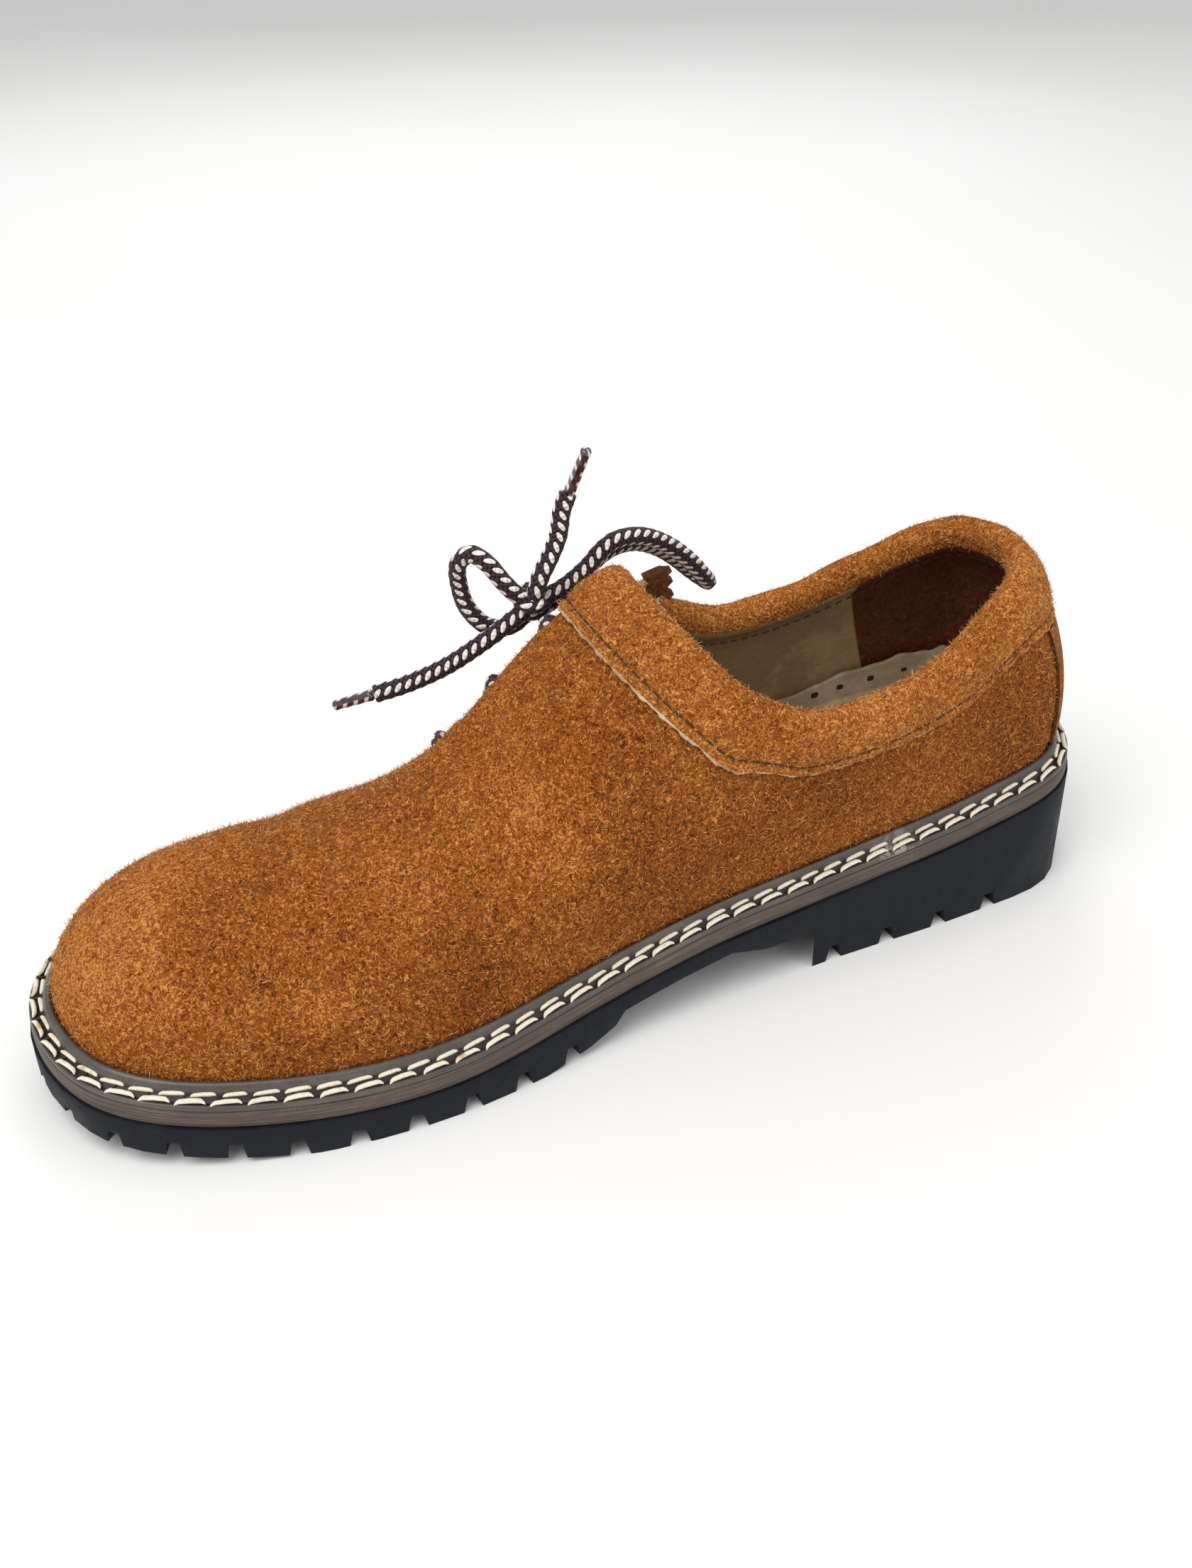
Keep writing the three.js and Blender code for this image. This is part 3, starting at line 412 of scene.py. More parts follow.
def make_nap():
    """Short curled fibres of suede, with the soft clouds of a brushed hide."""
    tree, given, out = group(
        "suede_nap",
        [("Vector", "Vector", None), ("Dark", "Color", None), ("Middle", "Color", None),
         ("Light", "Color", None), ("Fibre", "Float", 900.0), ("Rubbed_light_and_shade", "Float", 0.0)],
        [("Color", "Color"), ("Height", "Float")],
    )
    place = given["Vector"]
    fibre = noise(tree, place, given["Fibre"], 2.0, 0.6, 1.6)
    curl = noise(tree, place, maths(tree, "MULTIPLY", given["Fibre"], 0.5), 2.0, 0.55, 2.5)
    tuft = noise(tree, place, 330.0, 2.0, 0.5, 1.4)
    cloud = noise(tree, place, 30.0, 3.0, 0.55, 0.4)
    lit = maths(tree, "MULTIPLY_ADD", fibre, 0.68, maths(tree, "MULTIPLY", curl, 0.32))
    shade = maths(tree, "MULTIPLY_ADD", maths(tree, "SUBTRACT", tuft, 0.5), 0.07, lit)
    shade = maths(tree, "MULTIPLY_ADD", maths(tree, "SUBTRACT", cloud, 0.5), 0.16, shade)
    # adds the spots of worn nap, painted highlight and painted shade
    shade = maths(tree, "MULTIPLY_ADD", given["Rubbed_light_and_shade"], 0.2, shade)
    low = blend(tree, window(tree, shade, 0.35, 0.5), given["Dark"], given["Middle"])
    color = blend(tree, window(tree, shade, 0.5, 0.67), low, given["Light"])
    tree.links.new(color, out["Color"])
    height = maths(tree, "MULTIPLY_ADD", tuft, 0.4, lit)
    tree.links.new(height, out["Height"])
    return tree


def make_grain():
    """Fine grain and dust of rubber and leather."""
    tree, given, out = group(
        "grain_and_dust",
        [("Vector", "Vector", None), ("Base", "Color", None), ("Dust", "Color", None),
         ("Scale", "Float", 600.0), ("Dusty", "Float", 0.3)],
        [("Color", "Color"), ("Height", "Float"), ("Roughness", "Float")],
    )
    place = given["Vector"]
    fine = noise(tree, place, given["Scale"], 4.0, 0.6)
    cloud = noise(tree, place, 45.0, 4.0, 0.6, 0.6)
    speck = noise(tree, place, 900.0, 1.0, 0.4)
    marks = maths(tree, "MULTIPLY", window(tree, speck, 0.66, 0.74), window(tree, cloud, 0.42, 0.62))
    settled = window(tree, maths(tree, "MULTIPLY_ADD", fine, 0.4, cloud), 0.55, 0.95)
    film = maths(tree, "MULTIPLY", settled, given["Dusty"])
    specks = maths(tree, "MULTIPLY", marks, maths(tree, "MULTIPLY", given["Dusty"], 1.6))
    share = maths(tree, "MAXIMUM", film, specks)
    tree.links.new(blend(tree, share, given["Base"], given["Dust"]), out["Color"])
    tree.links.new(fine, out["Height"])
    tree.links.new(window(tree, cloud, 0.3, 0.7, 0.5, 0.78), out["Roughness"])
    return tree


def material(name, roughness, sheen=0.0, coat=0.0, specular=0.5, sheen_tint="ffffff"):
    made = bpy.data.materials.new(name)
    made.use_nodes = True
    tree = made.node_tree
    shader = tree.nodes["Principled BSDF"]
    shader.inputs["Roughness"].default_value = roughness
    shader.inputs["Sheen Weight"].default_value = sheen
    shader.inputs["Sheen Roughness"].default_value = 0.5
    shader.inputs["Sheen Tint"].default_value = paint(sheen_tint)
    shader.inputs["Coat Weight"].default_value = coat
    shader.inputs["Specular IOR Level"].default_value = specular
    places = add(tree, "ShaderNodeTexCoord").outputs
    return made, tree, shader, places


def bump(tree, shader, height, strength, distance):
    node = add(tree, "ShaderNodeBump", {"Height": height, "Strength": strength, "Distance": distance})
    tree.links.new(node.outputs["Normal"], shader.inputs["Normal"])


NAP = make_nap()
GRAIN = make_grain()


def grain_node(tree, place, base, dust, scale, dusty):
    values = {"Vector": place, "Base": paint(base), "Dust": paint(dust), "Scale": scale, "Dusty": dusty}
    return add(tree, "ShaderNodeGroup", values, node_tree=GRAIN)


def spot(tree, place, centre, radius):
    """1 at a point of the shoe in millimetres, fading to 0 at the radius."""
    middle = tuple(c * MM for c in centre)
    near = add(tree, "ShaderNodeVectorMath", {0: place, 1: middle}, operation="DISTANCE")
    return window(tree, near.outputs["Value"], radius * MM, 0.0)


def suede(name, dark, middle, light, rubs_light_and_shade=(), fibre=950.0, strength=0.8):
    made, tree, shader, places = material(name, 0.93, sheen=0.08, specular=0.1, sheen_tint="e0a468")
    place = places["Object"]
    rubbed_light_and_shade = 0.0
    # spots of worn nap, painted highlight and painted shade lighten or darken the nap
    for x, y, z, radius, amount in rubs_light_and_shade:
        rubbed_light_and_shade = maths(tree, "MULTIPLY_ADD", spot(tree, place, (x, y, z), radius), amount, rubbed_light_and_shade)
    nap = add(tree, "ShaderNodeGroup", node_tree=NAP)
    for socket, value in (("Vector", place), ("Rubbed_light_and_shade", rubbed_light_and_shade)):
        if isinstance(value, bpy.types.NodeSocket):
            tree.links.new(value, nap.inputs[socket])
    nap.inputs["Fibre"].default_value = fibre
    for socket, code in (("Dark", dark), ("Middle", middle), ("Light", light)):
        nap.inputs[socket].default_value = paint(code)
    tree.links.new(nap.outputs["Color"], shader.inputs["Base Color"])
    bump(tree, shader, nap.outputs["Height"], strength, 0.0011)
    return made


# Places of lighter (positive) and darker (negative) nap on the shoe, in millimetres: worn nap, a painted
# highlight on the toe, and painted shade on the medial side
UPPER_RUBS_LIGHT_AND_SHADE = (
    (26, 18, 73, 9, 0.16),
    (22, 28, 67, 9, 0.18),
    (18, 36, 58, 9, 0.14),
    # painted highlight: the toe made lighter where the light falls on it
    (140, 20, 44, 40, 0.28),
    (118, -8, 56, 42, 0.14),
    (86, 44, 37, 12, 0.24),
    (60, 30, 60, 46, 0.12),
    (24, 24, 70, 26, 0.1),
    # painted shade: these darker spots make the medial side darker
    (-60, 38, 52, 40, -0.2),
    (-120, 30, 58, 46, -0.2),
    (40, 50, 34, 34, -0.2),
    (-10, 44, 42, 44, -0.22),
)
SUEDE_UPPER = suede("suede_upper", "4e2408", "8f4d1b", "d69147", UPPER_RUBS_LIGHT_AND_SHADE)
SUEDE_BACKSTAY = suede("suede_backstay", "532a0d", "875020", "c28a50", ((-140, -5, 60, 40, 0.1),))
# painted shade: the tongue's suede is a darker copy of the upper's, for the shadow over its face
SUEDE_TONGUE_SHADED = suede("suede_tongue_shaded", "4a250c", "7c4a22", "ae7a44")
COLLAR_RUBS = ((60, 10, 110, 40, 0.1), (-70, 40, 82, 50, 0.12))


def raw_edge(name, base, dust):
    """Cut edge of leather or padding."""
    made, tree, shader, places = material(name, 0.9, specular=0.2)
    grain = grain_node(tree, places["Object"], base, dust, 1400.0, 0.9)
    tree.links.new(grain.outputs["Color"], shader.inputs["Base Color"])
    bump(tree, shader, grain.outputs["Height"], 0.8, 0.0009)
    return made


SUEDE_COLLAR = suede("suede_collar", "5e2f0b", "9f5921", "e09f56", COLLAR_RUBS)
RAW_CREAM = raw_edge("raw_edge_cream", "b88a5e", "e6d2b8")
RAW_BROWN = raw_edge("raw_edge_brown", "4a2813", "7a4a26")


def lining():
    """Inside of the upper: beige leather with a dark suede heel lining behind its seam."""
    made, tree, shader, places = material("lining_leather", 0.62, specular=0.35)
    place = places["Object"]
    grain = grain_node(tree, place, "957d58", "b8a078", 420.0, 0.8)
    nap = add(tree, "ShaderNodeGroup", {"Vector": place, "Fibre": 800.0, "Dark": paint("35150a"),
                                       "Middle": paint("5b2a12"), "Light": paint("7e4521")}, node_tree=NAP)
    parts = add(tree, "ShaderNodeSeparateXYZ", {"Vector": place}).outputs
    lean = maths(tree, "MULTIPLY_ADD", parts["Z"], -0.32, parts["X"])
    heel = window(tree, lean, -0.1205, -0.1213)
    color = blend(tree, heel, grain.outputs["Color"], nap.outputs["Color"])
    tree.links.new(color, shader.inputs["Base Color"])
    height = maths(tree, "MULTIPLY_ADD", heel, 0.8, grain.outputs["Height"])
    bump(tree, shader, height, 0.45, 0.0008)
    return made


LINING = lining()


def insole_leather():
    made, tree, shader, places = material("insole_leather", 0.6, specular=0.35)
    grain = grain_node(tree, places["Object"], "9a866a", "c4b294", 500.0, 0.8)
    tree.links.new(grain.outputs["Color"], shader.inputs["Base Color"])
    bump(tree, shader, grain.outputs["Height"], 0.4, 0.0007)
    return made


INSOLE = insole_leather()


# Scuffed place where the welt's two ends meet, in millimetres
WELT_JOIN = (-80, 33, 30)
WELT_JOIN_REACH = 9


def welt_rubber():
    """Welt: taupe bead above a lower band painted dark as shade round the stitch rows. UV: metres round,
    share across from the sole's edge.
    """
    made, tree, shader, places = material("welt_rubber", 0.42, coat=0.12, specular=0.45)
    grain = grain_node(tree, places["Object"], "4b443f", "7d746b", 900.0, 0.35)
    across = add(tree, "ShaderNodeSeparateXYZ", {"Vector": places["UV"]}).outputs["Y"]
    # painted shade: the low band between the sole's edge and the bead is darkened, and made rougher
    channel_shade = maths(tree, "MULTIPLY", window(tree, across, 0.05, 0.1), window(tree, across, 0.62, 0.55))
    color = blend(tree, channel_shade, grain.outputs["Color"], paint("261615"))
    join = maths(tree, "MULTIPLY", spot(tree, places["Object"], WELT_JOIN, WELT_JOIN_REACH), 1.4)
    ragged = window(tree, noise(tree, places["Object"], 500.0, 3.0, 0.6), 0.4, 0.6)
    color = blend(tree, maths(tree, "MULTIPLY", join, ragged), color, paint("948b80"))
    tree.links.new(color, shader.inputs["Base Color"])
    tree.links.new(maths(tree, "MULTIPLY_ADD", channel_shade, 0.25, 0.36), shader.inputs["Roughness"])
    bump(tree, shader, grain.outputs["Height"], 0.25, 0.0004)
    return made


def midsole_rubber():
    """Side band, with fine level grain lines. UV: metres round, metres up."""
    made, tree, shader, places = material("midsole_rubber", 0.55, specular=0.35)
    grain = grain_node(tree, places["Object"], "64574e", "86786b", 700.0, 0.55)
    drawn = add(tree, "ShaderNodeMapping", {"Vector": places["UV"], "Scale": (40.0, 2600.0, 1.0)}).outputs[0]
    lines = noise(tree, drawn, 1.0, 3.0, 0.6)
    color = blend(tree, window(tree, lines, 0.35, 0.7), paint("493e38"), grain.outputs["Color"])
    tree.links.new(color, shader.inputs["Base Color"])
    bump(tree, shader, lines, 0.35, 0.0005)
    return made


def outsole_rubber():
    made, tree, shader, places = material("outsole_rubber", 0.65, specular=0.22)
    grain = grain_node(tree, places["Object"], "0b1019", "3c3e40", 1100.0, 0.22)
    tree.links.new(grain.outputs["Color"], shader.inputs["Base Color"])
    tree.links.new(grain.outputs["Roughness"], shader.inputs["Roughness"])
    bump(tree, shader, grain.outputs["Height"], 0.3, 0.0004)
    return made


def stitch_thread(name, base, shade):
    made, tree, shader, places = material(name, 0.8, sheen=0.1, specular=0.2)
    twist = noise(tree, places["Object"], 1600.0, 2.0, 0.5)
    patch = noise(tree, places["Object"], 160.0, 2.0, 0.5)
    share = maths(tree, "MULTIPLY", window(tree, twist, 0.2, 0.45), window(tree, patch, 0.26, 0.38))
    tree.links.new(blend(tree, share, paint(shade), paint(base)), shader.inputs["Base Color"])
    bump(tree, shader, twist, 0.5, 0.0004)
    return made


LACE_COLUMNS = 4
LACE_FLECK_PITCH = 3.0


def lace_braid():
    """Round dark braid with slanted pale flecks; its yarn is painted darker in the plait's grooves as shade.
    UV: turns round the cord, metres along it.
    """
    made, tree, shader, places = material("lace_braid", 0.8, sheen=0.12, specular=0.2)
    parts = add(tree, "ShaderNodeSeparateXYZ", {"Vector": places["UV"]}).outputs
    column = maths(tree, "MULTIPLY", parts["X"], float(LACE_COLUMNS))
    odd = maths(tree, "MULTIPLY", maths(tree, "MODULO", maths(tree, "FLOOR", column), 2.0), 0.5)
    row = maths(tree, "ADD", maths(tree, "MULTIPLY", parts["Y"], 1000.0 / LACE_FLECK_PITCH), odd)
    across = maths(tree, "MULTIPLY", maths(tree, "SUBTRACT", maths(tree, "FRACT", column), 0.5), 3.6)
    down = maths(tree, "MULTIPLY", maths(tree, "SUBTRACT", maths(tree, "FRACT", row), 0.5), LACE_FLECK_PITCH)
    slant = maths(tree, "MULTIPLY_ADD", across, 0.75, down)
    wide = maths(tree, "DIVIDE", across, 1.05)
    long = maths(tree, "DIVIDE", slant, 0.84)
    reach = maths(tree, "ADD", maths(tree, "POWER", maths(tree, "ABSOLUTE", wide), 2.4),
                  maths(tree, "POWER", maths(tree, "ABSOLUTE", long), 2.4))
    fleck = window(tree, reach, 1.25, 0.85)
    strand = maths(tree, "MULTIPLY", parts["X"], 2 * math.pi * LACE_COLUMNS * 2)
    rows = maths(tree, "MULTIPLY", parts["Y"], 2000.0 * math.pi / (LACE_FLECK_PITCH / 2))
    plait = maths(tree, "MULTIPLY", maths(tree, "COSINE", strand), maths(tree, "COSINE", rows))
    # painted shade: the yarn darker in the grooves of the plait and lighter on its crowns, following the bump
    dark = blend(tree, window(tree, plait, -0.8, 0.6), paint("150c0e"), paint("46303a"))
    fuzz = noise(tree, places["Object"], 1500.0, 2.0, 0.6)
    pale = blend(tree, window(tree, fuzz, 0.3, 0.6), paint("d9cfc4"), paint("fbf8f2"))
    tree.links.new(blend(tree, fleck, dark, pale), shader.inputs["Base Color"])
    relief_height = maths(tree, "MULTIPLY_ADD", fleck, 1.4, maths(tree, "MULTIPLY_ADD", fuzz, 0.3, plait))
    bump(tree, shader, relief_height, 0.6, 0.0003)
    return made


def aglet_film():
    """Clear film over the end of the braid."""
    made, tree, shader, places = material("aglet_film", 0.16, coat=0.9, specular=0.6)
    parts = add(tree, "ShaderNodeSeparateXYZ", {"Vector": places["UV"]}).outputs
    row = maths(tree, "MULTIPLY_ADD", parts["Y"], 1000.0 / 3.4, maths(tree, "MULTIPLY", parts["X"], 2.0))
    near = maths(tree, "ABSOLUTE", maths(tree, "SUBTRACT", maths(tree, "FRACT", row), 0.5))
    column = maths(tree, "FRACT", maths(tree, "MULTIPLY", parts["X"], 3.0))
    side = maths(tree, "ABSOLUTE", maths(tree, "SUBTRACT", column, 0.5))
    fleck = maths(tree, "MULTIPLY", window(tree, near, 0.24, 0.14), window(tree, side, 0.32, 0.2))
    film = noise(tree, places["Object"], 300.0, 2.0, 0.5)
    dark = blend(tree, window(tree, film, 0.35, 0.65), paint("20171b"), paint("4c3f44"))
    tree.links.new(blend(tree, fleck, dark, paint("e6e0da")), shader.inputs["Base Color"])
    return made


WELT_RUBBER = welt_rubber()
MIDSOLE_RUBBER = midsole_rubber()
OUTSOLE_RUBBER = outsole_rubber()
CREAM_THREAD = stitch_thread("cream_thread", "ede6d3", "c0a778")
DARK_THREAD = stitch_thread("dark_thread", "4a3322", "2c1c12")
LACE_BRAID = lace_braid()
AGLET_FILM = aglet_film()


# Meshes
def build(name, points, faces, materials, uv=None, indices=None, sharp=None, closed=True):
    """A piece from points in millimetres."""
    mesh = bpy.data.meshes.new(name)
    mesh.from_pydata((np.asarray(points, float) * MM).tolist(), [], faces)
    for made in materials:
        mesh.materials.append(made)
    if indices is not None:
        mesh.polygons.foreach_set("material_index", indices)
    if uv is not None:
        layer = mesh.uv_layers.new(name="UVMap")
        corners = np.empty(len(mesh.loops), int)
        mesh.loops.foreach_get("vertex_index", corners)
        layer.data.foreach_set("uv", np.asarray(uv, float)[corners].ravel())
    work = bmesh.new()
    work.from_mesh(mesh)
    bmesh.ops.remove_doubles(work, verts=work.verts, dist=1e-6)
    bmesh.ops.dissolve_degenerate(work, edges=work.edges, dist=1e-6)
    if closed:
        bmesh.ops.recalc_face_normals(work, faces=work.faces)
    work.to_mesh(mesh)
    work.free()
    mesh.shade_smooth()
    if sharp:
        mesh.set_sharp_from_angle(angle=math.radians(sharp))
    made = bpy.data.objects.new(name, mesh)
    bpy.context.scene.collection.objects.link(made)
    return made


def grid_faces(rows, columns, wrap_rows=False, wrap_columns=False):
    r = np.arange(rows if wrap_rows else rows - 1)
    c = np.arange(columns if wrap_columns else columns - 1)
    r, c = (v.ravel() for v in np.meshgrid(r, c, indexing="ij"))
    below, right = (r + 1) % rows, (c + 1) % columns
    near, far = r * columns, below * columns
    return np.stack([near + c, near + right, far + right, far + c], -1).tolist()


def closed_sweep(name, rings, materials, ends="caps", **settings):
    """A closed piece through rings of points, an array of rings by points by 3."""
    count, size = rings.shape[:2]
    faces = grid_faces(count, size, wrap_rows=ends == "joined", wrap_columns=True)
    if ends == "caps":
        faces += [list(range(size)), [(count - 1) * size + i for i in range(size)]]
    return build(name, rings.reshape(-1, 3), faces, materials, **settings)


def slab(name, outer, inner, materials, rim=0, **settings):
    """A closed sheet between two grids of points. rim is the material of its edge."""
    rows, columns = outer.shape[:2]
    count = rows * columns
    face = grid_faces(rows, columns)
    faces = face + [[count + i for i in reversed(f)] for f in face]
    loop = [c for c in range(columns)]
    loop += [r * columns + columns - 1 for r in range(1, rows)]
    loop += [(rows - 1) * columns + c for c in range(columns - 2, -1, -1)]
    loop += [r * columns for r in range(rows - 2, 0, -1)]
    edge = [[a, b, count + b, count + a] for a, b in zip(loop, loop[1:] + loop[:1])]
    indices = [0] * len(faces) + [rim] * len(edge)
    points = np.concatenate([outer.reshape(-1, 3), inner.reshape(-1, 3)])
    return build(name, points, faces + edge, materials, indices=indices, **settings)


def finished(obj):
    """The object with its modifiers applied."""
    depsgraph = bpy.context.evaluated_depsgraph_get()
    mesh = bpy.data.meshes.new_from_object(obj.evaluated_get(depsgraph))
    obj.modifiers.clear()
    old = obj.data
    obj.data = mesh
    bpy.data.meshes.remove(old)
    return obj


def subtract(obj, *tools):
    for tool in tools:
        cut = obj.modifiers.new("cut", "BOOLEAN")
        cut.operation = "DIFFERENCE"
        cut.solver = "MANIFOLD"
        cut.object = tool
        cut.material_mode = "TRANSFER"
    finished(obj)
    for tool in tools:
        bpy.data.objects.remove(tool)
    return obj


def upright(name, outline, low, high, materials):
    outline = np.asarray(outline, float)
    rings = np.stack([np.c_[outline, np.full(len(outline), z)] for z in (low, high)])
    return closed_sweep(name, rings, materials)


def across(name, outline, materials):
    outline = np.asarray(outline, float)
    rings = [np.c_[outline[:, 0], np.full(len(outline), y), outline[:, 1]] for y in (-BALL_WIDTH, BALL_WIDTH)]
    return closed_sweep(name, np.stack(rings), materials)


# Creases of the worn upper: lines from one point to another, with a soft trough and a low ridge beside it
CREASES = table(
    "x0 y0 z0 x1 y1 z1 depth width",
    (28, 9, 76, 16, 40, 54, 1.9, 7),
    (67, -2, 59, 60, 16, 56, 1.1, 6),
    (46, 22, 60, 30, 42, 50, 0.7, 7),
    (78, -22, 50, 70, 8, 56, 0.8, 8),
    (56, -34, 50, 40, -44, 42, 0.8, 7),
    (-28, 40, 66, -44, 40, 44, 0.8, 9),
    (-78, -42, 66, -60, -46, 44, 0.8, 8),
    (2, 36, 78, -6, 46, 52, 0.6, 8),
    (104, 30, 44, 96, 44, 34, 0.5, 7),
)
SWELLS = table(
    "x y z lift width",
    (50, 34, 52, 1.0, 20),
    (6, 44, 60, 1.1, 17),
    (96, 10, 52, 0.8, 20),
    (-20, 42, 56, 0.6, 15),
    (-90, 36, 60, 0.8, 20),
    (30, -44, 52, 0.8, 16),
)


def relief(point):
    """How far the worn suede stands in or out, in millimetres."""
    lift = np.zeros(point.shape[:-1])
    for i in range(len(CREASES["depth"])):
        a = np.array([CREASES[k][i] for k in ("x0", "y0", "z0")])
        b = np.array([CREASES[k][i] for k in ("x1", "y1", "z1")])
        line = b - a
        t = np.clip(((point - a) @ line) / (line @ line), -0.2, 1.2)
        away = point - a - t[..., None] * line
        far = np.linalg.norm(away, axis=-1) / CREASES["width"][i]
        beside = np.sign(away[..., 0]) * far
        depth = CREASES["depth"][i]
        lift -= depth * np.exp(-far**2)
        lift += 0.45 * depth * np.exp(-((beside - 1.7) ** 2) / 0.8)
    for i in range(len(SWELLS["lift"])):
        centre = np.array([SWELLS[k][i] for k in ("x", "y", "z")])
        far = np.linalg.norm(point - centre, axis=-1) / SWELLS["width"][i]
        lift += SWELLS["lift"][i] * np.exp(-far**2)
    x, y, z = (point[..., i] for i in range(3))
    lift += 0.22 * np.sin(x / 11 + 1.3) * np.sin(z / 9 + 0.4) * np.sin(y / 13 + 0.7)
    return lift


def last_rings(angles, rises, offset, drop=0.0, worn=False):
    rings = []
    for side in (1.0, -1.0):
        grid_angle, grid_rise = np.meshgrid(angles, rises, indexing="ij")
        points = upper_offset(grid_angle, grid_rise, side, offset)
        if worn:
            height = points[..., 2] - seat_height(points[..., 0])
            fade = np.clip((height - 4) / 8, 0, 1)
            ends = np.clip(np.minimum(grid_angle, np.pi - grid_angle) / 0.25, 0, 1)
            lift = relief(points) * fade * ends
            points = points + upper_normal(grid_angle, grid_rise, side) * lift[..., None]
        points[:, 0, 2] = seat_height(points[:, 0, 0]) - drop
        rings.append(points)
    medial, lateral = rings
    lateral[0], lateral[-1] = medial[0], medial[-1]
    return np.concatenate([medial, lateral[:, -2::-1]], axis=1)


def make_upper():
    angles = np.linspace(0, np.pi, 221)
    skin = last_rings(angles, np.linspace(0, 1, 53) ** 1.1, 0.0, worn=True)
    room = last_rings(angles[::2], np.linspace(0, 1, 31) ** 1.15, -WALL, 6.0)
    outer = closed_sweep("upper_suede", skin, [SUEDE_UPPER], ends="seams")
    cavity = closed_sweep("cavity", room, [LINING], ends="seams")
    xs = np.linspace(-LENGTH / 2 - 10, along(0.56), 160)
    low = topline_height(xs)
    sky_line = [*zip(xs, low), *zip(xs[::-1], np.full(len(xs), 2 * COLLAR_HEIGHT))]
    sky = across("sky", sky_line, [RAW_BROWN])
    stops = np.linspace(SLIT["share"][0], SLIT["share"][-1], 60)
    vamp = smooth(SLIT["share"], SLIT["vamp"], stops) * BALL_WIDTH
    quarter = smooth(SLIT["share"], SLIT["quarter"], stops) * BALL_WIDTH
    slit_line = [*zip(along(stops), vamp), *zip(along(stops[::-1]), quarter[::-1])]
    slit = upright("slit", slit_line, 0.0, 2 * COLLAR_HEIGHT, [RAW_BROWN])
    tools = [cavity, sky, slit]
    for name, places in HOLES.items():
        for share, y in places:
            tools.append(hole_tool(f"hole_{name}", along(share), y * BALL_WIDTH))
    subtract(outer, *tools)
    outer.data.set_sharp_from_angle(angle=math.radians(40))
    return outer


def hole_tool(name, x, y):
    angle, rise = surface_at(x, y)
    centre, normal = upper_point(angle, rise, -1.0), upper_normal(angle, rise, -1.0)
    side = unit(np.cross(normal, (0.0, 0.0, 1.0)))
    other = np.cross(normal, side)
    spin = np.linspace(0, 2 * np.pi, 24, endpoint=False)[:, None]
    rim = (np.cos(spin) * side + np.sin(spin) * other) * HOLE_DIAMETER / 2
    rings = np.stack([centre + rim + normal * depth for depth in (-2.5 * WALL, 1.5 * WALL)])
    return closed_sweep(name, rings, [RAW_BROWN])


# Collar section, outside edge first: depth below the topline, distance out from the upper, zone
# Zone 0 is suede, 1 the raw cut edge, 2 the lining
COLLAR_SECTION = table(
    "below offset zone",
    (15.5, 0.6, 1), (15.65, 1.0, 1), (15.5, 1.5, 1), (15.1, 1.8, 0), (14.7, 1.95, 0), (13.9, 2.1, 0),
    (13.1, 1.95, 0), (12.5, 1.55, 0), (11.9, 2.05, 0), (11, 2.45, 0), (9, 2.9, 0), (6, 3.35, 0),
    (3, 3.45, 0), (0, 3.2, 0), (-1.6, 2.7, 0), (-2.8, 1.8, 0), (-3.5, 0.5, 0), (-3.75, -1.1, 0),
    (-3.4, -2.8, 0), (-2.4, -4.3, 0), (-0.6, -5.3, 0), (1.5, -5.75, 2), (3.4, -5.5, 2), (5, -4.9, 2),
    (6.4, -4.2, 2), (7.5, -3.6, 2), (7.5, -3.2, 2), (4, -3.2, 2), (-1.3, -3.2, 2),
    (-1.3, 0.6, 2), (5, 0.6, 2), (11, 0.6, 2),
)


def make_collar():
    way = np.linspace(COLLAR_START, COLLAR_END, 420)[:, None]
    below = COLLAR_SECTION["below"][None, :] + 0 * way
    wave = 0.3 * np.sin(way * 61) * np.sin(way * 23 + 1) + 0.22 * np.sin(way * 97 + 2)
    outside = ((COLLAR_SECTION["offset"] > 1.2) & (COLLAR_SECTION["zone"] == 0))[None, :]
    puckers = wave * np.clip((14 - below) / 8, 0.2, 1)
    offset = COLLAR_SECTION["offset"][None, :] + np.where(outside, puckers, 0)
    fray = 0.22 * np.sin(way * 340) + 0.15 * np.sin(way * 791 + 1)
    below = below + np.where((COLLAR_SECTION["zone"] == 1)[None, :], fray, 0)
    rings = collar_point(way + 0 * below, band_below(way, below), offset)
    zone = COLLAR_SECTION["zone"].astype(int)
    band = []
    for here, after in zip(zone, np.roll(zone, -1)):
        band.append(int(max(here, after) if 1 in (here, after) else here))
    indices = band * (len(rings) - 1) + [1, 1]
    return closed_sweep("collar_suede", rings, [SUEDE_COLLAR, RAW_CREAM, LINING], indices=indices, sharp=50)


